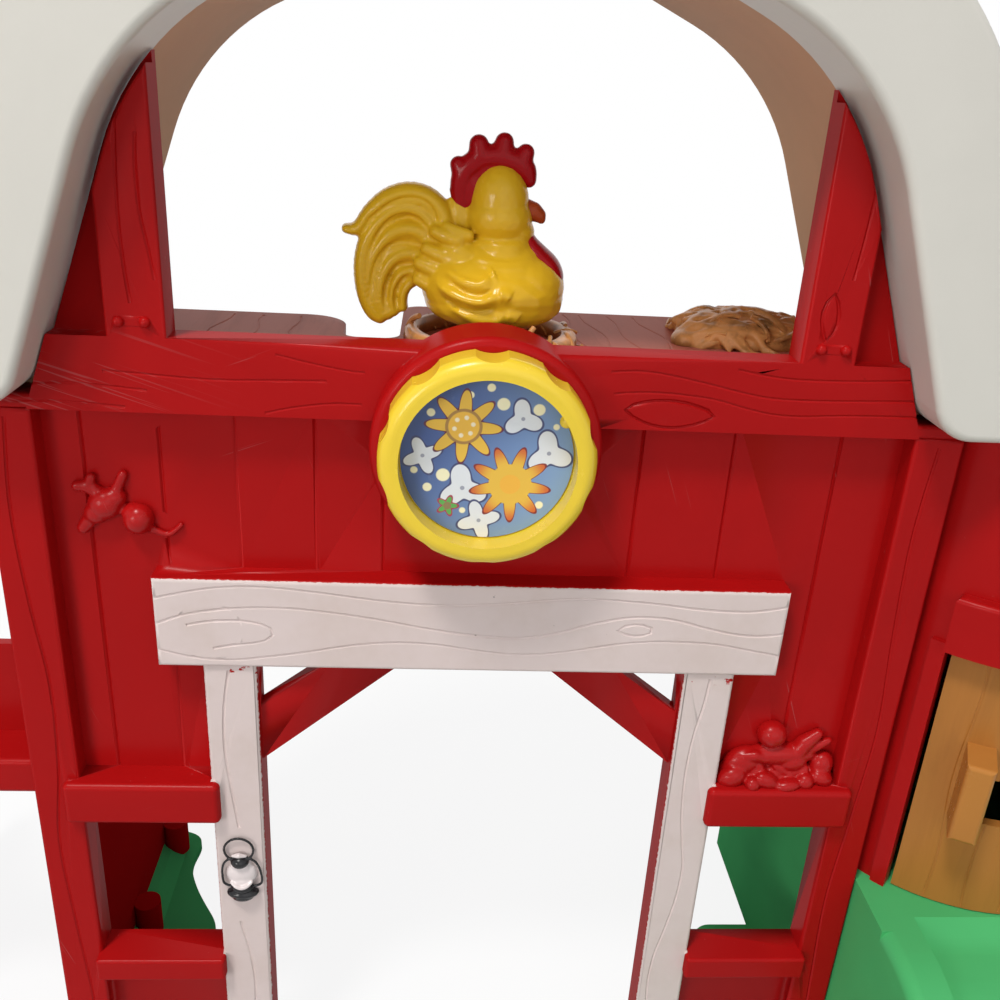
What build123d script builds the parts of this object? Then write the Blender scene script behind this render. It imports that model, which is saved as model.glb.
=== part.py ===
from build123d import *
import math
import os

# Toy barn with a hand-spun dial, a press-down rooster and a silo whose door opens.
# Working frame, in millimetres: X to the right, Y to the back, Z up. The corner posts' front
# faces lie at Y = 0, the ground at Z = 0 and the middle of the front wall at X = 0. The last
# step moves every piece so that the origin is the bottom centre of the whole toy's box.

# ---------------------------------------------------------------- driving sizes
wall = 2.6               # moulded wall thickness
rest_gap = 0.4           # gap left between moulded pieces that are not fastened face to face
run_fit = 0.06           # radial clearance of a shaft that turns or slides in its bore

# front wall
front_width = 225.6
front_depth = 8.2        # from the corner posts' front faces to the wall's back face
corner_post = 12.0
eave_height = 217.4      # where the roof rests
beam_low, beam_high = eave_height - 3.4, eave_height + 13.6
doorway_half = 54.0
door_post = 13.3
lintel_low, lintel_high, lintel_half, lintel_proud = 148.8, 173.2, 77.8, 1.0
brace_low, brace_wide, brace_reach, brace_back = 118.0, 16.0, 34.4, 3.0
window_out, window_low, window_high = 101.0, 53.0, 101.0
ledge_in, ledge_out, ledge_tall, ledge_proud = 64.9, 104.7, 12.5, 3.0
sill_tall, sill_proud = 7.5, 3.5
loft_post_in, loft_post_wide = 70.0, 12.8
post_soft = 1.0          # rounding along the front edges of posts, beam and lintel
groove = 0.9             # side of the square cutter that makes a plank groove
plank_edges = (-92.2, -74.9, -57.6, -39.2, -23.4, 37.4, 59.8, 85.3)

# gambrel roof: inner arch and what is laid outside it
knee_x, knee_z = 73.9, eave_height + 74.1
leg_lean, slope_rise = 19.9, 24.6        # degrees: leg from upright, upper slope from level
knee_round, ridge_round = 57.0, 60.0
fascia = 24.0
roof_front, roof_back = -12.0, 69.0
fascia_corner, eave_corner = 10.0, 8.0
fascia_soft = 2.0

# side walls
wall_back_low, wall_back_high = 108.0, 66.0
bracket_y = 30.0
screw_hole = 1.5

# loft
floor_top, floor_thick = eave_height + 8.6, 2.4
floor_back_left, floor_back_right = 50.0, 65.0
notch_left, notch_right, notch_front = -35.0, -21.0, 28.0
hay_x, hay_y, hay_wide, hay_deep, hay_tall = 69.0, 43.0, 21.0, 15.0, 8.0

# rooster
rooster_x, rooster_y = 1.0, 26.5
belly_low, belly_r = floor_top + 4.2, 17.2
tail_thick, comb_thick = 8.0, 4.2
press_travel = 3.0
stem_r, flange_r, flange_thick = 5.0, 8.0, 1.6
spring_r, spring_wire = 6.9, 0.9
nest_wide, nest_deep, nest_high, nest_hole_r = 21.0, 20.5, floor_top + 4.0, 17.7

# dial
dial_z, dial_r, dial_hole_r = eave_height - 8.0, 24.0, 19.4
dial_front, dial_web = 8.6, 2.4          # ring's depth, and the disc behind the label
boss_r, boss_proud = 26.2, 6.3
shaft_r = 6.0
lobes, lobe_r = 10, 9.0
label_thick = 0.5
cam_r, cam_thick = 9.0, 2.4

# sound case
case_half, case_tall, case_back = 72.0, 45.5, 42.0
case_wall = 2.2
cell_r, cell_long, cell_pitch = 5.25, 44.5, 11.6
speaker_x, speaker_r, speaker_up = -48.0, 17.0, 22.6
slider_travel = 5.0

# silo
silo_y, silo_r, silo_wall = 36.7, 50.4, 2.9
silo_x = 104.4 + silo_r                  # its left is cut off where it stands beside the barn
silo_high = eave_height - 3.4
door_edge, hinge_angle, jamb_angle = -40.6, 38.0, 42.0
door_high = 158.6
door_out_r, door_thick = silo_r - 1.1, 3.0
silo_lintel_low, silo_lintel_high, silo_lintel_r = 159.0, 174.5, silo_r + 4.2
pin_r, barrel_r = 1.5, 2.9
pull_angle, pull_wide, pull_low, pull_high, pull_r = -26.1, 7.0, 109.6, 133.2, silo_r + 10.2
slot_from, slot_to, slot_low, slot_high = -24.0, -13.5, 109.2, 123.5
dome_tall = 36.0

# green hill with the slide, and the base plate at the other side
hill_top = 79.5
hill_in, hill_right, hill_front, hill_back = 110.0, silo_x + silo_r + 4.8, -18.0, 104.0
slide_left, slide_flat, slide_foot, slide_end = 113.2, -42.0, -108.0, -136.0
slide_foot_z, slide_end_z = 12.0, 6.0
rail_wide, channel_deep = 11.0, 6.5
plate_thick = 3.0
plate_front = 49.8

# stall at the left
stall_left, stall_post = -184.0, 12.0
stall_face, stall_panel_y, stall_low, stall_ledge, stall_high = 7.2, 20.6, 102.6, 10.6, 141.0
stall_back = 92.0

# ---------------------------------------------------------------- derived places
half = front_width / 2
panel_front = front_depth - wall
pocket_back = front_depth + 1
door_post_out = doorway_half + door_post
post_in = half - corner_post
side_in = half - wall
silo_cut = half
plate_in = silo_cut + wall
case_high = floor_top - 4.5
case_low = case_high - case_tall
case_in = case_back - case_wall
floor_low = floor_top - floor_thick
spring_top = floor_low - 0.3 - flange_thick
spring_seat = spring_top - 15.0
board_top = case_low + 26.0
pin_x = silo_x + (door_out_r - door_thick / 2) * math.sin(math.radians(hinge_angle))
pin_y = silo_y - (door_out_r - door_thick / 2) * math.cos(math.radians(hinge_angle))


# ---------------------------------------------------------------- helpers
def block(x, y, z, soft=0.0):
    """A box between two corners; soft rounds all its edges."""
    size = (x[1] - x[0], y[1] - y[0], z[1] - z[0])
    middle = ((x[0] + x[1]) / 2, (y[0] + y[1]) / 2, (z[0] + z[1]) / 2)
    solid = Pos(*middle) * Box(*size)
    return fillet(solid.edges(), soft) if soft else solid


def front_soft(solid, radius=post_soft):
    """Round the edges of a solid's front face."""
    return fillet(solid.edges().group_by(Axis.Y)[0], radius)


def both(solid):
    """A solid and its mirror image across the middle of the barn."""
    return [solid, mirror(solid, about=Plane.YZ)]


def rod_x(radius, x, y, z):
    """A round bar along X between x[0] and x[1]."""
    bar = Rot(0, 90, 0) * Cylinder(radius, x[1] - x[0])
    return Pos((x[0] + x[1]) / 2, y, z) * bar


def rod_y(radius, x, y, z):
    """A round bar along Y between y[0] and y[1]."""
    bar = Rot(90, 0, 0) * Cylinder(radius, y[1] - y[0])
    return Pos(x, (y[0] + y[1]) / 2, z) * bar


def rod_z(radius, x, y, z):
    """A round bar along Z between z[0] and z[1]."""
    return Pos(x, y, (z[0] + z[1]) / 2) * Cylinder(radius, z[1] - z[0])


def rounded(*corners):
    """A closed outline through the given corners; a third number is that corner's radius."""
    radii = [corner[2] if len(corner) > 2 else 0 for corner in corners]
    return FilletPolyline(*[corner[:2] for corner in corners], radius=radii, close=True)


def slab(outline, y):
    """Push a closed outline, drawn in X and Z, through the depths y[0] to y[1]."""
    plane = Plane.XZ.offset(-y[1])
    return extrude(plane * make_face(outline), amount=y[1] - y[0])


def side_slab(outline, x):
    """Push a closed outline, drawn in Y and Z, through the widths x[0] to x[1]."""
    return extrude(Plane.YZ.offset(x[0]) * make_face(outline), amount=x[1] - x[0])


def arch_corners(out):
    """Knee, ridge and foot of the roof line laid a distance outside the inner arch."""
    lean, rise = math.radians(leg_lean), math.radians(slope_rise)
    leg = (math.cos(lean), math.sin(lean))
    top = (math.sin(rise), math.cos(rise))
    turn = leg[0] * top[1] - leg[1] * top[0]
    knee = (knee_x + out * (top[1] - leg[1]) / turn, knee_z + out * (leg[0] - top[0]) / turn)
    ridge = knee[1] + knee[0] * math.tan(rise)
    foot = knee[0] + (knee[1] - eave_height) * math.tan(lean)
    return knee, ridge, foot


def arch(out, y, low=eave_height):
    """The solid under the roof line, down to the height low."""
    knee, ridge, foot = arch_corners(out)
    reach = foot + (eave_height - low) * math.tan(math.radians(leg_lean))
    line = FilletPolyline(
        (-reach, low), (-knee[0], knee[1]), (0, ridge), knee, (reach, low),
        radius=(knee_round + out, ridge_round + out, knee_round + out),
    )
    return slab(line + Line((reach, low), (-reach, low)), y)


def sector(radii, angles, z):
    """Part of a ring about the silo's axis; 0 degrees faces the front, positive to the right."""
    def at(radius, angle):
        turn = math.radians(angle)
        return (silo_x + radius * math.sin(turn), silo_y - radius * math.cos(turn))

    inner, outer = radii
    first, last = angles
    middle = (first + last) / 2
    outline = ThreePointArc(at(inner, first), at(inner, middle), at(inner, last))
    outline += Line(at(inner, last), at(outer, last))
    outline += ThreePointArc(at(outer, last), at(outer, middle), at(outer, first))
    outline += Line(at(outer, first), at(inner, first))
    return extrude(Plane.XY.offset(z[0]) * make_face(outline), amount=z[1] - z[0])


def screw(x, y, z, reach, axis="y", head=3.0, shank=1.4, head_tall=1.8):
    """A pan-head screw: its head starts at (x, y, z) and its shank runs on for reach."""
    step = {"y": (0, 1, 0), "-y": (0, -1, 0), "z": (0, 0, 1), "x": (1, 0, 0), "-x": (-1, 0, 0)}[axis]
    body = Cylinder(head, head_tall, align=(Align.CENTER, Align.CENTER, Align.MIN))
    body += Pos(0, 0, head_tall) * Cylinder(
        shank, reach, align=(Align.CENTER, Align.CENTER, Align.MIN))
    body -= Pos(0, 0, 0.4) * Box(head * 1.2, 0.7, 0.8)
    body -= Pos(0, 0, 0.4) * Box(0.7, head * 1.2, 0.8)
    return Plane(origin=(x, y, z), z_dir=step) * body


# ---------------------------------------------------------------- front wall
wall_screw_z = {-1: (30.0, eave_height - 27.4), 1: (100.0, eave_height - 27.4)}
case_boss_x, case_boss_z, case_boss_y = case_half + 4.5, (case_low + 8.0, case_low + 36.0), 14.0
rib = 1.8


def cells(x, z, count, front=wall):
    """A row of pockets, open to the back and parted by thin ribs, that leaves a walled shell."""
    wide = (x[1] - x[0] - rib * (count - 1)) / count
    return [block((x[0] + step * (wide + rib), x[0] + step * (wide + rib) + wide), (front, pocket_back), z)
            for step in range(count)]


def wall_pockets():
    """Everything that is hollow behind the posts, the beam, the lintel and the ledges."""
    inside = half - wall
    column = block((post_in + wall, inside), (wall, pocket_back), (wall, beam_low - wall))
    for z in sorted(set(wall_screw_z[-1] + wall_screw_z[1])):
        column -= rod_y(3.4, half - 6.0, (0, pocket_back), z)
        column -= block((post_in, half), (0, pocket_back), (z - rib / 2, z + rib / 2))
    pockets = both(column)
    pockets += both(block((doorway_half + wall, door_post_out - wall), (wall, pocket_back),
                          (wall, window_low - sill_tall)))
    pockets += both(block((doorway_half + wall, door_post_out - wall), (wall, pocket_back),
                          (window_low, lintel_low - wall)))
    pockets += both(block((ledge_in + wall, ledge_out - wall), (wall - ledge_proud, pocket_back),
                          (window_high + wall, window_high + ledge_tall - wall)))
    pockets += cells((wall - lintel_half, lintel_half - wall),
                     (lintel_low + wall, lintel_high - wall), 6, wall - lintel_proud)
    pockets += cells((-92.0, 92.0), (beam_low + wall, beam_high - wall), 8)
    pockets += both(block((loft_post_in + wall, loft_post_in + loft_post_wide - wall),
                          (wall, pocket_back), (beam_high + wall, eave_height + 44.6)))
    return pockets


def front_wall():
    """Planked wall with posts, beam, lintel, ledges and the boss behind the dial."""
    skin = block((-half, half), (panel_front, front_depth), (0, beam_low))
    skin -= block((-doorway_half, doorway_half), (-1, 20), (-1, lintel_low))
    for side in both(block((door_post_out, window_out), (-1, 20), (window_low, window_high))):
        skin -= side
    cutter = Rot(0, 0, 45) * Box(groove, groove, beam_low - window_high)
    for edge in plank_edges:
        skin -= Pos(edge, panel_front, (beam_low + window_high) / 2) * cutter

    pieces = []
    corner = front_soft(block((post_in, half), (0, front_depth), (0, beam_low)))
    jamb = front_soft(block((doorway_half, door_post_out), (0, front_depth), (0, lintel_low + 1)))
    ledge = block((ledge_in, ledge_out), (-ledge_proud, front_depth),
                  (window_high, window_high + ledge_tall), soft=1.6)
    sill = block((door_post_out - 1, window_out + 1), (-sill_proud, front_depth),
                 (window_low - sill_tall, window_low), soft=1.0)
    brace = Polyline(
        (doorway_half + 1, brace_low - 0.5), (doorway_half + 1, brace_low + brace_wide),
        (brace_reach, lintel_low + 1), (brace_reach - brace_wide - 2, lintel_low + 1), close=True)
    for piece in (corner, jamb, ledge, sill, slab(brace, (brace_back, front_depth))):
        pieces += both(piece)

    pieces.append(front_soft(block((-lintel_half, lintel_half), (-lintel_proud, front_depth),
                                   (lintel_low, lintel_high))))
    pieces.append(front_soft(block((-half, half), (0, front_depth), (beam_low, eave_height))))
    under_roof = arch(-rest_gap, (0, front_depth), low=beam_low)
    pieces.append(under_roof & block((-half, half), (0, front_depth), (beam_low, beam_high)))

    # loft posts stop a little short of the roof; thin gable panels fill in behind them
    tall = 400.0
    inside = block((loft_post_in, half), (panel_front, front_depth), (beam_low, tall))
    post = block((loft_post_in, loft_post_in + loft_post_wide), (0, front_depth), (beam_low, tall))
    short = arch(-rest_gap - 1.6, (0, front_depth), low=beam_low)
    gable = under_roof & inside
    upright = front_soft(short & post, 0.8)
    pieces += both(gable) + both(upright)
    for rivet_x in (loft_post_in + 4.2, loft_post_in + 9.8):
        pieces += both(Pos(rivet_x, 0, beam_high + 3.4) * Sphere(1.3))

    boss = rod_y(boss_r, 0, (-boss_proud, front_depth), dial_z)
    pieces.append(fillet(boss.edges().group_by(Axis.Y)[0], 2.0))
    body = skin + pieces
    for pocket in wall_pockets():
        body -= pocket
    hub_r = shaft_r + 3.0
    body -= (rod_y(boss_r - wall, 0, (wall - boss_proud, pocket_back), dial_z)
             - rod_y(hub_r, 0, (-10, front_depth), dial_z))
    back = [block((-92, 92), (wall, front_depth + wall), (floor_low - 2.0, floor_low))]
    for boss_z in case_boss_z:
        back += both(rod_y(3.6, case_boss_x, (panel_front, case_boss_y), boss_z))
    for spoke in range(4):
        turn = math.radians(45 + 90 * spoke)
        arm = block((hub_r - 0.5, boss_r - 1), (1.0 - boss_proud, front_depth), (-rib / 2, rib / 2))
        back.append(Pos(0, 0, dial_z) * Rot(0, math.degrees(turn), 0) * arm)
    body += back
    body -= rod_y(shaft_r + run_fit, 0, (-20, 20), dial_z)
    for side, heights in wall_screw_z.items():
        for screw_z in heights:
            body -= rod_y(screw_hole, side * (half - 6.0), (2.0, front_depth + 1), screw_z)
    for boss_z in case_boss_z:
        for side in (-1, 1):
            body -= rod_y(screw_hole, side * case_boss_x, (front_depth, case_boss_y + 1), boss_z)
    return body


# ---------------------------------------------------------------- side walls
roof_screw_x, roof_screw_y = 106.0, (20.0, 56.0)
floor_screw_x = 91.0
stall_screw_at = ((15.6, 107.9), (27.6, 128.0))
silo_screw_z = (112.0, silo_high - 18.0)
hill_screw_y, hill_screw_z = (24.0, 52.0), 87.0
plate_screw_x, plate_screw_y = 106.2, (56.0, 96.0)


def side_wall(low):
    """The right-hand side wall, standing on low: planks, roof flange and floor bracket."""
    outline = rounded(
        (front_depth, low), (wall_back_low, low), (wall_back_low, low + 36.0, 20.0),
        (wall_back_high + 6.0, eave_height - 21.4, 24.0), (wall_back_high, eave_height),
        (front_depth, eave_height))
    body = side_slab(outline, (side_in, half))
    cutter = Rot(0, 0, 45) * Box(groove, groove, 400)
    for step in range(1, 6):
        body -= Pos(half, front_depth + step * 17.0, 200) * cutter
    foot = arch_corners(0)[2]
    flange = block((foot, side_in), (front_depth + 1, wall_back_high - 3),
                   (eave_height - 3, eave_height))
    bracket = block((floor_screw_x - 3, side_in), (bracket_y, bracket_y + 6),
                    (eave_height - 9, eave_height - 1))
    riser = block((floor_screw_x - 3, floor_screw_x + 3), (bracket_y, bracket_y + 6),
                  (eave_height - 5, floor_low))
    lip = block((side_in - 8, side_in), (front_depth, front_depth + wall), (low, eave_height - 3))
    body += [flange, bracket, riser, lip]
    for screw_y in roof_screw_y:
        body -= rod_z(screw_hole, roof_screw_x, screw_y, (eave_height - 4, eave_height + 1))
    body -= rod_z(screw_hole, floor_screw_x, bracket_y + 3, (eave_height - 4, floor_low + 1))
    return body


def side_wall_left():
    body = mirror(side_wall(plate_thick), about=Plane.YZ)
    for screw_z in wall_screw_z[-1]:
        body -= rod_y(screw_hole, -(half - 6.0), (front_depth - 1, front_depth + 9), screw_z)
    for screw_y, screw_z in stall_screw_at:
        body -= rod_x(screw_hole, (-half - 1, -side_in + 1), screw_y, screw_z)
    body += block((-half, -side_in), (front_depth, plate_front - rest_gap), (0, plate_thick + 1))
    for screw_y in plate_screw_y:
        body += rod_z(4.4, -plate_screw_x, screw_y, (plate_thick, plate_thick + 13))
        body -= rod_z(screw_hole, -plate_screw_x, screw_y, (plate_thick - 1, plate_thick + 10))
    return body


def side_wall_right():
    body = side_wall(hill_top)
    for screw_z in wall_screw_z[1]:
        body -= rod_y(screw_hole, half - 6.0, (front_depth - 1, front_depth + 9), screw_z)
    for screw_z in silo_screw_z:
        body -= rod_x(screw_hole, (side_in - 1, half + 1), silo_y, screw_z)
    for screw_y in hill_screw_y:
        body -= rod_x(screw_hole, (side_in - 1, half + 1), screw_y, hill_screw_z)
    return body


def wall_screws():
    back = front_depth + wall
    return [screw(side * (half - 6.0), back + 1.8, z, back - 3.0, "-y")
            for side, heights in wall_screw_z.items() for z in heights]


# ---------------------------------------------------------------- roof
shell_screw_at = ((112.4, eave_height + 22.6), (45.0, eave_height + 107.6))


def roof_shell():
    """Outer skin with the front fascia, whose lower corners are rounded."""
    deep = (roof_front, front_depth + 0.2)
    ring = arch(fascia, deep) - arch(0, deep)
    upright = ring.edges().filter_by(Axis.Y).group_by(Axis.Z)[0].sort_by(Axis.X)
    ring = fillet(upright[1:-1], fascia_corner)
    upright = ring.edges().filter_by(Axis.Y).group_by(Axis.Z)[0].sort_by(Axis.X)
    ring = fillet([upright[0], upright[-1]], eave_corner)
    ring = fillet(ring.faces().sort_by(Axis.Y)[0].edges(), fascia_soft)
    hollow = (roof_front + wall, front_depth + 1)
    ring -= (arch(fascia - wall, hollow, low=eave_height + wall)
             - arch(wall, hollow, low=eave_height + wall - 1))
    length = (front_depth + 0.2, roof_back)
    skin = arch(fascia, length) - arch(fascia - wall, (length[0] - 1, length[1] + 1), low=0)
    body = ring + skin
    for x, z in shell_screw_at:
        boss = rod_y(3.4, x, (roof_back - wall - 14, roof_back - wall), z) & arch(fascia, length)
        for side in both(boss):
            body += side
        for side in (-1, 1):
            body -= rod_y(screw_hole, side * x, (roof_back - wall - 12, roof_back), z)
    return body


def roof_liner():
    """Inner arch behind the front wall, with the feet it stands on and the back closing plate."""
    slip = 0.1
    length = (front_depth + 0.2, roof_back)
    close = (roof_back - wall, roof_back)
    core = arch(wall, length) - arch(0, (length[0] - 1, length[1] + 1), low=0)
    back = (arch(fascia - wall - slip, close)
            - arch(0, (close[0] - 1, close[1] + 1), low=0))
    foot = arch_corners(0)[2]
    feet = both(block((foot, foot + 20), length, (eave_height, eave_height + wall)))
    bosses = []
    for screw_y in roof_screw_y:
        bosses += both(rod_z(3.2, roof_screw_x, screw_y, (eave_height, eave_height + 10)))
    body = core + ([back] + feet + bosses)
    for screw_y in roof_screw_y:
        for side in (-1, 1):
            body -= rod_z(screw_hole, side * roof_screw_x, screw_y, (eave_height - 1, eave_height + 8))
    for x, z in shell_screw_at:
        for side in (-1, 1):
            body -= rod_y(screw_hole, side * x, (roof_back - wall - 1, roof_back + 1), z)
    return body


def shell_screws():
    return [screw(side * x, roof_back + 1.8, z, 12.0, "-y")
            for side in (-1, 1) for x, z in shell_screw_at]


def roof_screws():
    head = eave_height - 3 - 1.8
    return [screw(side * roof_screw_x, y, head, 9.5, "z")
            for side in (-1, 1) for y in roof_screw_y]


# ---------------------------------------------------------------- loft
def loft_floor():
    """Plank floor with a notch that opens to the back."""
    edge = arch_corners(0)[2] - (floor_top - eave_height) * math.tan(math.radians(leg_lean)) - rest_gap
    front = front_depth + rest_gap
    outline = rounded(
        (-edge, front), (-edge, floor_back_left), (notch_left, floor_back_left, 11.0),
        (notch_left, notch_front, 4.0), (notch_right, notch_front, 4.0),
        (notch_right, floor_back_right, 5.0), (edge, floor_back_right), (edge, front))
    body = extrude(Plane.XY.offset(floor_low) * make_face(outline), amount=floor_thick)
    body -= rod_z(stem_r + run_fit, rooster_x, rooster_y, (floor_low - 1, floor_top + 1))
    for side in (-1, 1):
        body -= rod_z(screw_hole, side * floor_screw_x, bracket_y + 3, (floor_low - 1, floor_top + 1))
    return body


def floor_screws():
    flipped = []
    for side in (-1, 1):
        one = mirror(screw(0, 0, 0, 9.0, "z"), about=Plane.XY)
        flipped.append(Pos(side * floor_screw_x, bracket_y + 3, floor_top + 1.8) * one)
    return flipped


def mound(x, y, wide, deep, tall, soft):
    """A low oval mound on the loft floor with a rounded rim."""
    body = Pos(x, y, floor_top) * extrude(Ellipse(wide, deep), amount=tall)
    return fillet(body.edges().group_by(Axis.Z)[-1], soft)


def straw_nest():
    """A low ring of straw round the rooster, open at the front."""
    ring = mound(rooster_x + 0.5, rooster_y, nest_wide, nest_deep, nest_high - floor_top, 1.6)
    ring -= block((-60, 60), (-60, front_depth + 1.2), (0, 400))
    return ring - rod_z(nest_hole_r, rooster_x, rooster_y, (floor_top - 1, nest_high + 1))


def hay_heap():
    """A heap of loose hay at the right of the loft."""
    heap = mound(hay_x, hay_y, hay_wide, hay_deep, hay_tall, 6.5)
    return heap + mound(hay_x - 9, hay_y - 5, 12.0, 8.5, hay_tall * 0.6, 3.5)


# ---------------------------------------------------------------- rooster
# outlines in X and in height above the belly's underside
tail_line = (
    (-4.0, 23.8), (-9.7, 28.3), (-14.3, 31.9), (-20.1, 33.1), (-25.1, 30.9), (-28.2, 26.7),
    (-31.0, 24.2), (-34.2, 23.7), (-34.3, 21.4), (-30.6, 20.0), (-31.2, 14.2), (-30.9, 7.6),
    (-29.0, 2.7), (-25.7, 0.3), (-21.6, 1.2), (-20.0, 4.2), (-19.4, 7.4), (-18.0, 10.2),
    (-12.0, 11.4),
)
comb_lobes = (
    (-7.3, 36.8, 2.6), (-2.9, 40.7, 2.7), (2.9, 41.4, 2.7), (7.6, 38.8, 2.7),
    (-8.0, 32.0, 2.4), (-7.0, 29.2, 2.2),
)
comb_root = ((-9.0, 29.6), (-9.2, 35.8), (-5.0, 40.4), (1.0, 41.4), (7.0, 40.2), (10.2, 37.4),
             (9.2, 32.4), (4.0, 27.8), (-4.0, 25.8))
wattle_balls = ((12.0, 18.4, 3.7), (14.2, 15.0, 3.7))


def rooster_body():
    """Sitting rooster, turned about its upright middle, with a flat hooked tail."""
    low = belly_low
    line = Spline(
        (15.6, low), (belly_r - 0.3, low + 4), (belly_r, low + 9), (16.0, low + 14), (12.4, low + 18.8),
        (9.2, low + 22.4), (7.8, low + 26), (7.9, low + 29.5), (7.0, low + 33.4), (4.4, low + 36.6),
        (0, low + 38.0))
    line += Polyline((0, low + 38.0), (0, low), (15.6, low))
    figure = revolve(Plane.XZ * make_face(line), axis=Axis.Z)
    body = Pos(rooster_x, rooster_y, 0) * figure
    points = [(x, low + up) for x, up in tail_line]
    outline = Spline(*points) + Line(points[-1], points[0])
    tail = slab(outline, (rooster_y - tail_thick / 2, rooster_y + tail_thick / 2))
    rim = tail.edges().filter_by(Plane.XZ).filter_by(GeomType.BSPLINE)
    body += fillet(rim, 0.9)
    body -= [rooster_comb(), rooster_beak(), rooster_wattle()]
    return body - rod_z(stem_r, rooster_x, rooster_y, (low - 1, low + 7))


def rooster_comb():
    """Lobed comb over the back and top of the head."""
    deep = (rooster_y - comb_thick / 2, rooster_y + comb_thick / 2)
    lobe_rods = [rod_y(radius, x, deep, belly_low + up) for x, up, radius in comb_lobes]
    root = [(x, belly_low + up) for x, up in comb_root]
    return slab(Polyline(*root, close=True), deep) + lobe_rods


def rooster_beak():
    cone = Cone(2.9, 0.9, 5.4, align=(Align.CENTER, Align.CENTER, Align.MIN))
    return Pos(7.6, rooster_y, belly_low + 27.6) * Rot(0, 97, 0) * cone


def rooster_wattle():
    first, second = [Pos(x, rooster_y, belly_low + up) * Sphere(radius) for x, up, radius in wattle_balls]
    return first + second


def rooster_plunger():
    """Stem in the belly, with the flange that stops it under the floor and carries the spring."""
    stem = rod_z(stem_r, rooster_x, rooster_y, (spring_top, belly_low + 7))
    flange = rod_z(flange_r, rooster_x, rooster_y, (spring_top, spring_top + flange_thick))
    tip = rod_z(3.0, rooster_x, rooster_y, (board_top + 3.2 + press_travel + 0.5, spring_top))
    return stem + [flange, tip]


def rooster_spring():
    """Plain sleeve in the room of the return spring under the flange."""
    outer = rod_z(spring_r + spring_wire / 2, rooster_x, rooster_y, (spring_seat, spring_top))
    return outer - rod_z(spring_r - spring_wire / 2, rooster_x, rooster_y, (spring_seat - 1, spring_top + 1))


# ---------------------------------------------------------------- dial
def dial_ring():
    """Scalloped ring on a disc, with the shaft that runs through the wall."""
    back = -boss_proud - 0.2
    front = back - dial_front
    ring = rod_y(dial_r, 0, (front, back), dial_z)
    ring = fillet(ring.edges().group_by(Axis.Y)[0], 3.0)
    ring -= rod_y(dial_hole_r, 0, (front - 1, back - dial_web), dial_z)
    for index in range(lobes):
        turn = math.radians(18 + index * 360 / lobes)
        reach = dial_r + lobe_r - 1.0
        ring -= rod_y(lobe_r, reach * math.cos(turn), (front - 1, back + 1), dial_z + reach * math.sin(turn))
    nub = Pos(dial_hole_r * math.cos(math.radians(32)), front + 2.4,
              dial_z + dial_hole_r * math.sin(math.radians(32))) * Sphere(1.5)
    shaft = rod_y(shaft_r, 0, (back - 1, front_depth + 0.3), dial_z)
    return ring + [nub, shaft] - rod_y(screw_hole, 0, (back + 2, 20), dial_z)


def dial_label():
    back = -boss_proud - 0.2 - dial_web
    return rod_y(dial_hole_r - 0.3, 0, (back - label_thick, back), dial_z)


def dial_cam():
    """Lobed disc on the shaft's end behind the wall; its lobes work the contact finger."""
    front = front_depth + 0.3
    cam = rod_y(cam_r, 0, (front, front + cam_thick), dial_z)
    for index in range(lobes):
        turn = math.radians(index * 360 / lobes)
        reach = cam_r + 1.2
        cam -= rod_y(2.0, reach * math.cos(turn), (front - 1, front + 5), dial_z + reach * math.sin(turn))
    return cam - rod_y(screw_hole, 0, (front - 1, front + 5), dial_z)


def dial_screw():
    return screw(0, front_depth + 0.3 + cam_thick + 1.8, dial_z, 10.0, "-y")


# ---------------------------------------------------------------- sound case
cell_x = (20.0, 20.0 + cell_long)
cell_y = 30.0
cell_z = tuple(case_low + 11.0 + step * cell_pitch for step in range(3))
cover_screw_x = 14.4
slider_x, slider_z = -12.0, case_low + 11.0
speaker_z = case_low + speaker_up
neck = (4.0, 5.0)        # width and height of the slider's neck


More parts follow.
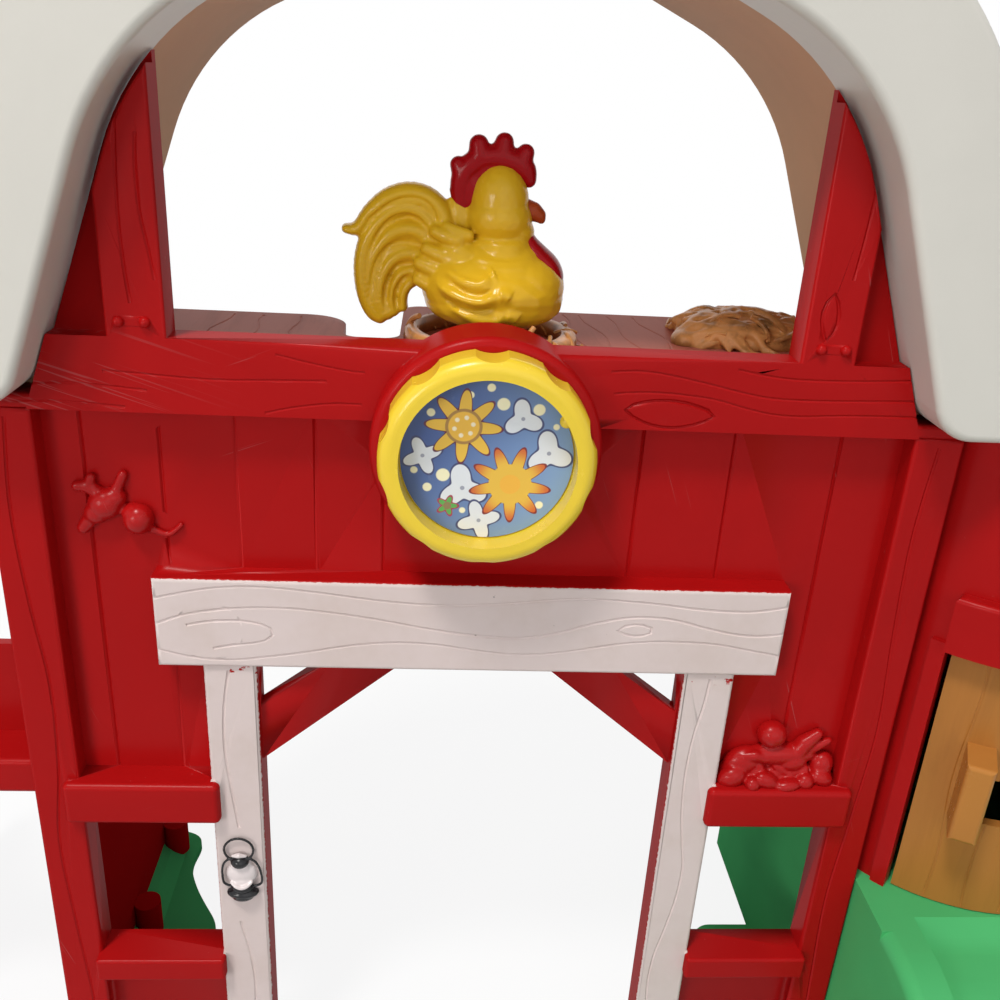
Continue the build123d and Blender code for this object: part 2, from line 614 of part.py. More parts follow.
def sound_case():
    """Open-fronted box behind the wall for the electronics, the speaker and the cells."""
    room = (front_depth + 0.2, case_back)
    body = block((-case_half, case_half), room, (case_low, case_high))
    body -= block((-case_half + case_wall, case_half - case_wall), (0, case_in),
                  (case_low + case_wall, case_high - case_wall))
    pieces = []
    for boss_z in case_boss_z:
        lug = block((case_half - 1, case_boss_x + 4), (case_boss_y, case_boss_y + 2.6),
                    (boss_z - 4, boss_z + 4))
        pieces += both(lug)
    top_z, low_z = cell_z[-1] + cell_r + 0.6, cell_z[0] - cell_r - 0.6
    for rib_x in (cell_x[0] - 3.6, cell_x[1] + 1.4):
        pieces.append(block((rib_x, rib_x + 2.2), (cell_y - cell_r - 2, case_back - 1),
                            (case_low + 1, case_high - 1)))
    for rib_x in (-25.0, 8.0):
        pieces.append(block((rib_x, rib_x + 2.0), (26.0, case_back - 1), (board_top - 4.0, board_top - 1.6)))
    pieces.append(rod_y(3.2, cover_screw_x, (cell_y + 2, case_back - 1), low_z + 4))
    pieces.append(block((cell_x[0] - 3.6, cell_x[1] + 3.6), (cell_y - cell_r - 2.2, cell_y - cell_r - 0.6),
                        (case_low + 1, case_high - 1)))
    bridge = block((slider_x - 9.5, slider_x + 9.5), (case_in - 3.4, case_back - 1),
                   (slider_z - 4.6, slider_z + 4.6))
    bridge -= block((slider_x - 7.7, slider_x + 7.7), (case_in - 2.1, case_back), (0, 400))
    pieces.append(bridge)
    cup = rod_z(spring_r + 2.2, rooster_x, rooster_y, (spring_seat - 1.6, spring_seat + 2.0))
    cup -= rod_z(spring_r + 0.8, rooster_x, rooster_y, (spring_seat, spring_seat + 3))
    arm = block((rooster_x - 2, rooster_x + 2), (rooster_y + 6, case_back - 1), (spring_seat - 1.6, spring_seat))
    pieces += [cup, arm]
    body += pieces
    body -= block((-cam_r - 1, cam_r + 1), (0, front_depth + 6),
                  (dial_z - cam_r - 1, case_high - case_wall))
    body -= rod_z(flange_r + 1.6, rooster_x, rooster_y, (case_high - case_wall - 0.5, case_high + 1))
    body -= rod_z(3.6, rooster_x, rooster_y, (spring_seat - 3, spring_seat + 1))
    body -= block((cell_x[0], cell_x[1]), (case_in - 1, case_back + 1), (low_z, top_z))
    body -= rod_y(1.25, cover_screw_x, (cell_y + 3, case_back + 1), low_z + 4)
    long = slider_travel + neck[0] + 0.6
    body -= block((slider_x - long / 2, slider_x + long / 2), (case_in - 1, case_back + 1),
                  (slider_z - neck[1] / 2 - 0.3, slider_z + neck[1] / 2 + 0.3))
    for row in range(-3, 4):
        offset = row * 4.4
        reach = math.sqrt((speaker_r - 3) ** 2 - offset ** 2)
        body -= block((speaker_x - reach, speaker_x + reach), (case_in - 1, case_back + 1),
                      (speaker_z + offset - 0.9, speaker_z + offset + 0.9))
    for boss_z in case_boss_z:
        for side in (-1, 1):
            body -= rod_y(screw_hole, side * case_boss_x, (case_boss_y - 1, case_boss_y + 4), boss_z)
    return body


def case_screws():
    return [screw(side * case_boss_x, case_boss_y + 2.6 + 1.8, z, 7.4, "-y")
            for side in (-1, 1) for z in case_boss_z]


def battery_cells():
    cells = []
    for index, z in enumerate(cell_z):
        tip = (cell_x[1] - 0.9, cell_x[1]) if index % 2 == 0 else (cell_x[0], cell_x[0] + 0.9)
        can = (cell_x[0], cell_x[1] - 0.9) if index % 2 == 0 else (cell_x[0] + 0.9, cell_x[1])
        cells.append(rod_x(cell_r, can, cell_y, z) + rod_x(1.9, tip, cell_y, z))
    return cells


def battery_contacts():
    low, high = cell_z[0] - cell_r + 0.5, cell_z[-1] + cell_r - 0.5
    deep = (cell_y - cell_r, cell_y + cell_r)
    return [block((cell_x[0] - 1.4, cell_x[0]), deep, (low, high)),
            block((cell_x[1], cell_x[1] + 1.4), deep, (low, high))]


def battery_cover():
    low, high = cell_z[0] - cell_r - 0.6, cell_z[-1] + cell_r + 0.6
    plate = block((cover_screw_x - 4, cell_x[1] + 2), (case_back, case_back + 2.2), (low - 2, high + 2))
    plate = fillet(plate.edges().filter_by(Axis.Y), 1.5)
    plate += block((cell_x[0] + 0.3, cell_x[1] - 0.3), (case_in, case_back + 1), (low + 0.3, high - 0.3))
    return plate - rod_y(screw_hole, cover_screw_x, (case_in, case_back + 4), low + 4)


def cover_screw():
    low = cell_z[0] - cell_r - 0.6
    return screw(cover_screw_x, case_back + 2.2 + 1.4, low + 4, 9.0, "-y", head=2.4, shank=1.2, head_tall=1.4)


def circuit_board():
    board = block((-27.0, 12.0), (14.0, case_in), (board_top - 1.6, board_top))
    return board - rod_z(0.8, -22, 20, (board_top - 5, board_top + 5))


def sound_chip():
    return block((-23.0, -11.0), (24.0, 34.0), (board_top, board_top + 1.8), soft=0.3)


def rooster_switch():
    """Push switch under the plunger's tip."""
    base = block((rooster_x - 3, rooster_x + 3), (rooster_y - 3, rooster_y + 3), (board_top, board_top + 2.6))
    return base + rod_z(1.6, rooster_x, rooster_y, (board_top + 2, board_top + 3.2))


def speaker():
    rim = rod_y(speaker_r, speaker_x, (case_in - 3, case_in), speaker_z)
    rim -= rod_y(speaker_r - 2.5, speaker_x, (case_in - 1.6, case_in + 1), speaker_z)
    magnet = rod_y(8.5, speaker_x, (case_in - 10, case_in - 2.4), speaker_z)
    return rim + magnet


def power_slider():
    knob = block((slider_x - slider_travel / 2 - neck[0] / 2, slider_x - slider_travel / 2 + neck[0] / 2),
                 (case_in - 0.5, case_back + 2.4), (slider_z - neck[1] / 2, slider_z + neck[1] / 2))
    flange = block((slider_x - slider_travel / 2 - 4.5, slider_x - slider_travel / 2 + 4.5),
                   (case_in - 1.9, case_in - 0.1),
                   (slider_z - neck[1] / 2 - 1.6, slider_z + neck[1] / 2 + 1.6))
    return knob + flange


# ---------------------------------------------------------------- silo
dome_screw_x, dome_screw_y = silo_x + 6, (silo_y + 22.4 - silo_r, silo_y - 22.4 + silo_r)


def silo_shell():
    """Round red wall with the door opening, its jambs and the curved lintel."""
    tall = (hill_top, silo_high)
    body = rod_z(silo_r, silo_x, silo_y, tall)
    body -= rod_z(silo_r - silo_wall, silo_x, silo_y, (hill_top - 1, silo_high - wall))
    beyond = block((silo_cut - 60, silo_cut), (-60, 140), (0, 300))
    body -= beyond
    flat = rod_z(silo_r - 1, silo_x, silo_y, tall) & block((silo_cut, plate_in), (-60, 140), tall)
    lintel = sector((silo_r - 1, silo_lintel_r), (-jamb_angle, jamb_angle),
                    (silo_lintel_low, silo_lintel_high))
    lintel = fillet(lintel.faces().sort_by(Axis.Z)[-1].edges(), 1.4)
    jambs = [sector((silo_r - 1, silo_r + 1.4), angles, (hill_top, silo_lintel_low + 1))
             for angles in ((jamb_angle, jamb_angle + 4.5), (-jamb_angle - 4.5, -jamb_angle))]
    screws = [rod_x(3.6, (silo_cut, plate_in + 7), silo_y, z) for z in silo_screw_z]
    screws += [rod_x(3.6, (silo_cut, plate_in + 7), y, hill_screw_z) for y in hill_screw_y]
    lug = sector((silo_r - 9.0, silo_r - 1), (hinge_angle - 5, jamb_angle + 3),
                 (silo_lintel_low, silo_lintel_low + 8))
    body += [flat, lintel, lug] + jambs + screws
    body -= sector((silo_r - 12, silo_r + 12), (-jamb_angle, jamb_angle), (hill_top - 1, silo_lintel_low))
    body -= rod_z(pin_r, pin_x, pin_y, (silo_lintel_low - 1, silo_lintel_low + 6))
    for z in silo_screw_z:
        body -= rod_x(screw_hole, (silo_cut - 1, plate_in + 5), silo_y, z)
    for y in hill_screw_y:
        body -= rod_x(screw_hole, (silo_cut - 1, plate_in + 5), y, hill_screw_z)
    for y in dome_screw_y:
        body -= rod_z(screw_hole, dome_screw_x, y, (silo_high - wall - 1, silo_high + 1))
    return body


def silo_screws():
    return [screw(side_in - 1.8, silo_y, z, 9.0, "x") for z in silo_screw_z]


def dome_screws():
    return [screw(dome_screw_x, y, silo_high - wall - 1.8, 12.0, "z") for y in dome_screw_y]


def silo_door():
    """Curved door leaf on its pin barrel, with the slot behind the pull."""
    low = hill_top + rest_gap
    leaf = sector((door_out_r - door_thick, door_out_r), (door_edge, hinge_angle), (low, door_high))
    barrel = rod_z(barrel_r, pin_x, pin_y, (low, door_high))
    body = leaf + barrel
    body -= sector((door_out_r - 8, door_out_r + 8), (slot_from, slot_to), (slot_low, slot_high))
    return body - rod_z(pin_r + run_fit, pin_x, pin_y, (0, 300))


def silo_pull():
    """Upright pull on the door."""
    turn = Pos(silo_x, silo_y, 0) * Rot(0, 0, pull_angle)
    bar = block((-pull_wide / 2, pull_wide / 2), (-pull_r, -door_out_r + 0.6), (pull_low, pull_high))
    bar = fillet(bar.edges().group_by(Axis.Y)[0], 1.2)
    return turn * bar - sector((door_out_r - 10, door_out_r), (-60, 60), (0, 300))


def silo_pin():
    return rod_z(pin_r, pin_x, pin_y, (hill_top - 14, silo_lintel_low + 6))


def silo_dome():
    """Domed cap, cut flat where it stands beside the roof."""
    def cap(radius, tall, low):
        swell = (radius ** 2 + tall ** 2) / (2 * tall)
        ball = Pos(silo_x, silo_y, low + tall - swell) * Sphere(swell)
        return ball & rod_z(radius + 1, silo_x, silo_y, (low, low + tall + 1))

    beside = arch_corners(fascia)[2] + 1.2
    outer = cap(silo_r + 1.2, dome_tall, silo_high)
    inner = cap(silo_r + 1.2 - wall, dome_tall - wall, silo_high)
    keep = block((beside, 400), (-60, 140), (0, 400))
    core = inner & block((beside + wall, 400), (-60, 140), (0, 400))
    body = (outer & keep) - core
    for y in dome_screw_y:
        body += rod_z(3.6, dome_screw_x, y, (silo_high, silo_high + dome_tall)) & outer
        body -= rod_z(screw_hole, dome_screw_x, y, (silo_high - 1, silo_high + 14))
    return body


# ---------------------------------------------------------------- ground pieces
def hill_form(inset):
    """The hill's outside for inset 0, or the space inside its walls."""
    top = hill_top - inset
    low = 0 if inset == 0 else -1
    back = block((hill_in + inset, hill_right - inset),
                 (front_depth + 0.2 + inset, hill_back - inset), (low, top))
    fore = block((slide_left + inset, hill_right - inset),
                 (hill_front + inset, front_depth + 10), (low, top))
    round_r = 16.0 - inset
    back = fillet(back.edges().filter_by(Axis.Z).sort_by(Axis.X)[-2:], round_r)
    fore = fillet(fore.edges().filter_by(Axis.Z).sort_by(Axis.X)[-2:].sort_by(Axis.Y)[0], round_r)
    right = 2 * silo_x - slide_left
    rail = rounded(
        (0, low), (0, top), (slide_flat, top, 40.0),
        (slide_foot + inset, slide_foot_z - inset * 0.6, 35.0),
        (slide_end + inset, slide_end_z - inset), (slide_end + inset, low))
    rails = side_slab(rail, (slide_left + inset, right - inset))
    if inset == 0:
        rails = fillet(rails.edges().filter_by(Axis.X, reverse=True).filter_by(
            lambda e: e.center().Z > 1 and e.center().Y < -1 and e.center().Y > slide_end + 0.5), 3.5)
    body = back + [fore, rails]
    drop = channel_deep + inset
    bed = rounded(
        (-8, hill_top + 9 - drop), (-20, hill_top + 3 - drop, 14.0),
        (slide_flat - 1, hill_top - drop, 38.0), (slide_foot - 2, slide_foot_z + 1 - drop, 33.0),
        (slide_end - 2, slide_end_z + 2 - drop), (slide_end - 2, 200), (-8, 200))
    side = rail_wide - inset
    channel = side_slab(bed, (slide_left + side, right - side))
    return body - channel


def hill():
    """Green ground moulding under the silo, with the slide in front."""
    body = hill_form(0) - hill_form(wall)
    front = front_depth + rest_gap
    tab = rounded((hill_in + 1, front), (84, front, 3.0), (84, 50, 8.0), (92, 58, 7.0), (hill_in + 1, 58))
    body += extrude(make_face(tab), amount=plate_thick)
    body += rod_z(4.5, pin_x, pin_y, (hill_top - 18, hill_top - 1))
    body -= rod_z(pin_r, pin_x, pin_y, (hill_top - 14, hill_top + 1))
    lug = block((side_in - wall, side_in), (hill_screw_y[0] - 6, hill_screw_y[1] + 6),
                (hill_top - 20, hill_screw_z + 6))
    body += [lug, block((side_in - 1, hill_in + 1), (hill_screw_y[0] - 6, hill_screw_y[1] + 6),
                        (hill_top - 20, hill_top - 2))]
    for y in hill_screw_y:
        body -= rod_x(screw_hole, (side_in - wall - 1, side_in + 1), y, hill_screw_z)
    return body


def hill_screws():
    return [screw(side_in - wall - 1.8, y, hill_screw_z, 12.0, "x") for y in hill_screw_y]


def base_plate():
    """Ground plate under the back of the left side wall: a wavy grass edge and a low bank."""
    grass = Spline((-85, plate_front), (-83.6, 56), (-88, 65), (-96, 79), (-98.6, 90), (-97.8, 99),
                   (-104, 105))
    outline = grass + Polyline((-104, 105), (-half - 5, 105), (-half - 5, plate_front),
                               (-85, plate_front))
    body = extrude(make_face(outline), amount=plate_thick)
    bank = Polyline((-side_in, plate_thick - 1), (-side_in, plate_thick + 5),
                    (-side_in + 3, plate_thick + 3.6), (-side_in + 9, plate_thick - 1), close=True)
    bank = slab(bank, (plate_front, 104.0))
    for y in plate_screw_y:
        bank -= rod_z(5.0, -plate_screw_x, y, (plate_thick, 50))
    body += bank
    for y in plate_screw_y:
        body -= rod_z(screw_hole, -plate_screw_x, y, (-1, plate_thick + 1))
        body -= rod_z(3.2, -plate_screw_x, y, (-1, 1.9))
    return body


def plate_screws():
    return [screw(-plate_screw_x, y, 0.2, 10.0, "z", head_tall=1.6) for y in plate_screw_y]


# ---------------------------------------------------------------- stall
stall_end_z = (20.0, 120.0)


def stall_front():
    """Board with its ledge over the open stall, and the hollow end post."""
    right = -half
    inner = stall_left + stall_post
    back = stall_panel_y + wall
    board = block((inner - 1, right), (stall_panel_y, back), (stall_low, stall_high))
    ledge = block((inner - 1, right), (stall_face, stall_panel_y + 1),
                  (stall_low, stall_low + stall_ledge))
    ledge = front_soft(ledge, 1.4)
    post = block((stall_left, inner), (stall_face, back), (0, stall_high + 6))
    post = front_soft(post, 1.2)
    body = board + [ledge, post]
    body -= block((stall_left + wall, inner - wall), (stall_face + wall, back + 1),
                  (wall, stall_high + 6 - wall))
    body -= block((inner, right - 10), (stall_face + wall, stall_panel_y), (0, stall_low + stall_ledge - wall))
    lug = block((right - 10, right), (back - 1, stall_screw_at[1][0] + 4),
                (stall_screw_at[1][1] - 4, stall_screw_at[1][1] + 4))
    posts = [rod_y(3.6, stall_left + stall_post / 2, (stall_face + 1, back), z) for z in stall_end_z]
    body += [lug] + posts
    for screw_y, screw_z in stall_screw_at:
        body -= rod_x(screw_hole, (right - 9, right + 1), screw_y, screw_z)
    for z in stall_end_z:
        body -= rod_y(screw_hole, stall_left + stall_post / 2, (stall_face + wall, back + 1), z)
    return body


def stall_side():
    """End wall of the stall, lower towards the back, with the plate that closes the post."""
    front = stall_panel_y + wall
    outline = rounded((front, 0), (stall_back, 0), (stall_back, 62, 16.0),
                      (front + 18, stall_high, 20.0), (front, stall_high))
    body = side_slab(outline, (stall_left, stall_left + wall))
    body += block((stall_left, stall_left + stall_post), (front, front + wall), (0, stall_high))
    cutter = Rot(0, 0, 45) * Box(groove, groove, 300)
    for step in range(1, 4):
        body -= Pos(stall_left, front + step * 17.0, 150) * cutter
    for z in stall_end_z:
        body -= rod_y(screw_hole, stall_left + stall_post / 2, (front - 1, front + wall + 1), z)
    return body


def stall_screws():
    into_wall = [screw(-side_in + 1.8, y, z, 10.0, "-x") for y, z in stall_screw_at]
    front = stall_panel_y + wall * 2 + 1.8
    return into_wall + [screw(stall_left + stall_post / 2, front, z, 12.0, "-y") for z in stall_end_z]


# ---------------------------------------------------------------- trim on the front wall
lantern_x, lantern_low = -61.0, 65.5


def raised(outline, proud, soft, back=0.0):
    """A low relief on a face at the depth back: an outline pushed forward, its rim rounded."""
    body = slab(outline, (back - proud, back))
    return fillet(body.edges().group_by(Axis.Y)[0], soft) if soft else body


def lantern_globe():
    x, z = lantern_x, lantern_low
    bulb = rounded((x - 2.8, z + 5.4), (x - 5.0, z + 10, 4.5), (x - 2.6, z + 18.8, 0.6),
                   (x + 2.6, z + 18.8, 0.6), (x + 5.0, z + 10, 4.5), (x + 2.8, z + 5.4))
    return raised(bulb, 2.2, 0.8)


def lantern_frame():
    """Foot, cap, guard wire and hanging ring of the lantern."""
    x, z = lantern_x, lantern_low
    foot = rounded((x - 5.6, z + 1.4, 0.8), (x - 3.6, z + 5.4), (x + 3.6, z + 5.4),
                   (x + 5.6, z + 1.4, 0.8), (x, z - 1.2, 4.0))
    cap = Polyline((x - 2.9, z + 18.8), (x - 3.3, z + 21.2), (x - 1.4, z + 22.4), (x + 1.4, z + 22.4),
                   (x + 3.3, z + 21.2), (x + 2.9, z + 18.8), close=True)
    ring = rod_y(4.4, x, (-1.0, 0), z + 25.4) - rod_y(3.4, x, (-2, 1), z + 25.4)
    guard = Pos(x, 0, z + 12.9) * Rot(90, 0, 0) * extrude(Ellipse(6.4, 10.3) - Ellipse(5.5, 9.4), amount=1.0)
    return raised(foot, 2.4, 0) + [raised(cap, 2.4, 0), ring, guard]


def pebbles(places, y):
    """Rounded lumps on a face at depth y: each x, z, radius of its outline and height."""
    shapes = []
    for x, z, radius, proud in places:
        ball = (radius ** 2 + proud ** 2) / (2 * proud)
        shapes.append(Pos(x, y - proud + ball, z) * Sphere(ball))
    first, *others = shapes
    return (first + others) & block((-120, 120), (-20, y), (0, 400))


# x, distance below the beam, outline radius and height of each lump
mouse_lumps = (
    (-88.4, 24.2, 4.4, 3.9), (-86.4, 25.4, 3.9, 3.6), (-80.9, 27.8, 3.9, 3.8), (-92.8, 19.6, 2.3, 2.2),
    (-91.0, 21.4, 2.2, 2.0), (-84.1, 18.4, 1.7, 1.6), (-84.9, 20.8, 2.0, 1.8), (-92.4, 29.4, 2.5, 2.2),
    (-90.8, 27.2, 2.7, 2.4), (-76.4, 31.2, 1.3, 1.1), (-74.6, 31.6, 1.2, 1.0), (-72.8, 31.0, 1.2, 1.0),
    (-71.7, 29.6, 1.1, 1.0), (-78.0, 30.4, 1.6, 1.2),
)
# the same with heights above the ledge
harvest_lumps = (
    (81.4, 15.7, 3.3, 3.1), (80.8, 11.5, 2.8, 2.4), (73.4, 5.1, 4.2, 3.4), (77.8, 7.1, 3.9, 3.0),
    (84.8, 6.1, 4.4, 3.6), (90.2, 8.1, 4.2, 3.3), (93.6, 10.3, 3.2, 2.8), (96.6, 12.9, 2.7, 2.4),
    (96.2, 4.9, 3.6, 2.9), (72.0, 2.1, 3.6, 3.4), (79.0, 2.3, 4.4, 3.8), (87.0, 2.1, 4.2, 3.8),
    (94.0, 1.9, 4.0, 3.4),
)


def mouse_relief():
    """Small climbing mouse moulded on the planks at the left."""
    lumps = [(x, beam_low - down, radius, proud) for x, down, radius, proud in mouse_lumps]
    return pebbles(lumps, panel_front)


def harvest_relief():
    """Bird among fruit and leaves, moulded on the planks above the right ledge."""
    low = window_high + ledge_tall
    lumps = [(x, low + up, radius, proud) for x, up, radius, proud in harvest_lumps]
    room = block((door_post_out + 0.2, post_in - 0.2), (-20, panel_front), (low, low + 46))
    return pebbles(lumps, panel_front) & room


# ---------------------------------------------------------------- build and write
makers = [
    front_wall, side_wall_left, side_wall_right, wall_screws, roof_shell, roof_liner, roof_screws,
    shell_screws, dome_screws, hill_screws, plate_screws,
    loft_floor, floor_screws, straw_nest, hay_heap, rooster_body, rooster_comb, rooster_beak,
    rooster_wattle, rooster_plunger, rooster_spring,
    dial_ring, dial_label, dial_cam, dial_screw, sound_case, case_screws, battery_cells,
    battery_contacts, battery_cover, cover_screw, circuit_board, sound_chip, rooster_switch,
    speaker, power_slider, silo_shell, silo_screws, silo_door, silo_pull, silo_pin, silo_dome,
    hill, base_plate, stall_front, stall_side, stall_screws, lantern_globe, lantern_frame,
    mouse_relief, harvest_relief,
]


def build():
    return {maker.__name__: maker() for maker in makers}


def write(pieces):
    os.makedirs("parts", exist_ok=True)
    groups = {name: shape if isinstance(shape, list) else [shape] for name, shape in pieces.items()}
    whole = Compound(children=[Compound(shape.solids()) for group in groups.values() for shape in group])
    box = whole.bounding_box()
    shift = Pos(-(box.min.X + box.max.X) / 2, -(box.min.Y + box.max.Y) / 2, -box.min.Z)
    for name, group in groups.items():
        solids = [shift * solid for shape in group for solid in shape.solids()]
        export_step(Compound(solids) if len(solids) > 1 else solids[0], f"parts/{name}.step")
    print("size", [round(v, 2) for v in tuple(box.size)])
    print("shift", [round(v, 4) for v in tuple(shift.position)])
    print("dial axis", (0, 0, dial_z), "rooster axis", (rooster_x, rooster_y), "pin", (pin_x, pin_y))
    print("spring seat", spring_seat)


if __name__ == "__main__":
    write(build())
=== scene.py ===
"""Looks of a toy barn with a silo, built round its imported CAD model.

Lengths in this file are millimetres in the barn's own frame, unless a name says otherwise: X to
the right, Y to the back from the corner posts' front faces, Z up from the ground. at() turns them
into metres in the CAD model's frame, where the finished meshes lie.
"""

import math
import random

import bpy
import bmesh
import numpy as np
from mathutils import Matrix, Vector


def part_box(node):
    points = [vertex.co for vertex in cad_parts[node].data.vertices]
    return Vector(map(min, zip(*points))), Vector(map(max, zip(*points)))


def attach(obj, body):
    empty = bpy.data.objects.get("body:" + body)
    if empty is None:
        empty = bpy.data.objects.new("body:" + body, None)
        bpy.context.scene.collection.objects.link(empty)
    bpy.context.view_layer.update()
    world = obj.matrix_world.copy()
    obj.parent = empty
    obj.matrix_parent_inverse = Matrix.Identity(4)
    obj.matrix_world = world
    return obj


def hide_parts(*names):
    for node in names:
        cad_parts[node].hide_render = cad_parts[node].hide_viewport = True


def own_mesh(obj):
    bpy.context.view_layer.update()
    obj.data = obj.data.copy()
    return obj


bl_info = {
    "name": "Toy Barn",
    "version": (1, 0, 0),
    "blender": (4, 5, 0),
    "location": "3D View > Sidebar > Toy Barn",
    "description": "Dresses the CAD model of a toy barn with its plastics, paint, grain and figures",
    "category": "Object",
}

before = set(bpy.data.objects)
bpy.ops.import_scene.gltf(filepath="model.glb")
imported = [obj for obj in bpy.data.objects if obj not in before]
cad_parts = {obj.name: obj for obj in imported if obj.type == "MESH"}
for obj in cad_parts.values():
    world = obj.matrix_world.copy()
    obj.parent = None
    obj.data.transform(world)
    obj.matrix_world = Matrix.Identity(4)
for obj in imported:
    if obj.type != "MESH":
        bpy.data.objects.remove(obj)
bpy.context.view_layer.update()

# ---------------------------------------------------------------- places
half_width, roof_overhang = 112.8, 12.0  # half the front wall, and the roof's reach in front of it
barn_shift = (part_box("front_wall")[0].x * 1000 + half_width,
              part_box("roof_shell")[0].y * 1000 + roof_overhang)
lintel_front, panel_front = -1.0, 5.6
lintel_half, lintel_low, lintel_high = 77.9, 148.9, 173.0
door_post_in, door_post_out = 54.1, 67.2
ledge_top = 113.0                        # of the right window
rooster_x, rooster_y, floor_top, press_travel = 1.0, 26.5, 226.0, 3.0
dial_z = 209.4
silo_x, silo_y, door_out_r, hill_top = 154.8, 36.7, 49.3, 79.5
# edges stay sharp above these angles, in degrees: flat parts, rounded figures, strands and wires
crease_angle, figure_crease, strand_crease = 32.0, 80.0, 60.0


def at(x, y, z):
    """A place in the barn's frame, in millimetres, as metres in the CAD model's frame."""
    return Vector(((x + barn_shift[0]) / 1000, (y + barn_shift[1]) / 1000, z / 1000))


# ---------------------------------------------------------------- shader maths
class Socket:
    """A node's output that takes part in Python expressions."""

    def __init__(self, shade, output):
        self.shade, self.output = shade, output

    def maths(self, operation, *values):
        return self.shade.node("Math", {"operation": operation}, dict(enumerate(values)))

    def __add__(self, other):
        return self.maths("ADD", self, other)

    def __sub__(self, other):
        return self.maths("SUBTRACT", self, other)

    def __rsub__(self, other):
        return self.maths("SUBTRACT", other, self)

    def __mul__(self, other):
        return self.maths("MULTIPLY", self, other)

    def __truediv__(self, other):
        return self.maths("DIVIDE", self, other)

    def __pow__(self, other):
        return self.maths("POWER", self, other)

    def __abs__(self):
        return self.maths("ABSOLUTE", self)

    __radd__, __rmul__ = __add__, __mul__

    def least(self, other):
        return self.maths("MINIMUM", self, other)

    def most(self, other):
        return self.maths("MAXIMUM", self, other)

    def step(self, low, high):
        """0 at or below low, 1 at or above high, and smooth between them."""
        return self.shade.node("MapRange", {"interpolation_type": "SMOOTHSTEP"},
                               {0: self, 1: low, 2: high, 3: 0.0, 4: 1.0})


class Shade:
    """The node tree of one material, or of the world."""

    def __init__(self, name="", owner=None):
        self.material = owner or bpy.data.materials.new(name)
        self.material.use_nodes = True
        self.tree = self.material.node_tree
        self.tree.nodes.clear()
        self.spot = self.node("TexCoord", out="Object")

    def end(self, surface, kind="Material"):
        last = self.tree.nodes.new(f"ShaderNodeOutput{kind}")
        self.tree.links.new(surface.output, last.inputs[0])
        return self.material

    def node(self, kind, settings=None, feeds=None, out=0):
        """A node with its settings, and with values or links for its sockets; returns one output."""
        made = self.tree.nodes.new("ShaderNode" + kind)
        for key, value in (settings or {}).items():
            setattr(made, key, value)
        for key, value in (feeds or {}).items():
            if isinstance(value, Socket):
                self.tree.links.new(value.output, made.inputs[key])
            else:
                made.inputs[key].default_value = value
        return Socket(self, made.outputs[out])

    def mix(self, first, second, share):
        """The first colour at share 0, the second at share 1."""
        ends = [(*c, 1.0) if isinstance(c, (tuple, list)) and len(c) == 3 else c
                for c in (first, second)]
        return self.node("Mix", {"data_type": "RGBA"}, {0: share, 6: ends[0], 7: ends[1]}, 2)

    def vector(self, operation, first, second):
        return self.node("VectorMath", {"operation": operation}, {0: first, 1: second})

    def stretched(self, scale):
        return self.vector("MULTIPLY", self.spot, scale)

    def noise(self, scale, detail, rough=0.5, where=None, warp=0.0):
        return self.node("TexNoise", None, {"Vector": where or self.spot, "Scale": scale,
                                            "Detail": detail, "Roughness": rough,
                                            "Distortion": warp})

    def barn_place(self):
        """X, Y and Z of the shaded point in the barn's frame, in millimetres."""
        parts = self.node("SeparateXYZ", None, {0: self.spot})
        x, y, z = [Socket(self, parts.output.node.outputs[index]) for index in range(3)]
        return x * 1000 - barn_shift[0], y * 1000 - barn_shift[1], z * 1000

    def streaks(self, angle, seed, amount):
        """Thin straight scratches that run at an angle about Y; a larger amount leaves fewer."""
        moved = self.vector("ADD", self.spot, (seed, seed * 0.7, seed * 1.3))
        turned = self.node("VectorRotate", {"rotation_type": "Y_AXIS"},
                           {"Vector": moved, "Angle": angle})
        drawn = self.vector("MULTIPLY", turned, (1500.0, 900.0, 26.0))
        return self.noise(1.0, 1.0, where=drawn).step(amount, amount + 0.05)

    def scratches(self):
        """Sparse hairlines in two directions."""
        return self.streaks(0.35, 0.0, 0.775) + self.streaks(-1.2, 3.1, 0.795)

    def finish(self, colour, roughness, bump=None, bump_depth=0.0001, metallic=0.0, **plain):
        """Principled surface; plain values go straight onto their own sockets."""
        feeds = {"Base Color": (*colour, 1.0) if isinstance(colour, (tuple, list)) else colour,
                 "Roughness": roughness, "Metallic": metallic}
        if bump is not None:
            feeds["Normal"] = self.node("Bump", None, {"Strength": 1.0, "Distance": bump_depth,
                                                       "Height": bump})
        feeds.update({key.replace("_", " "): value for key, value in plain.items()})
        return self.end(self.node("BsdfPrincipled", None, feeds))


def toned(colour, share):
    """A colour made darker or lighter by a share."""
    return tuple(min(1.0, part * share) for part in colour)


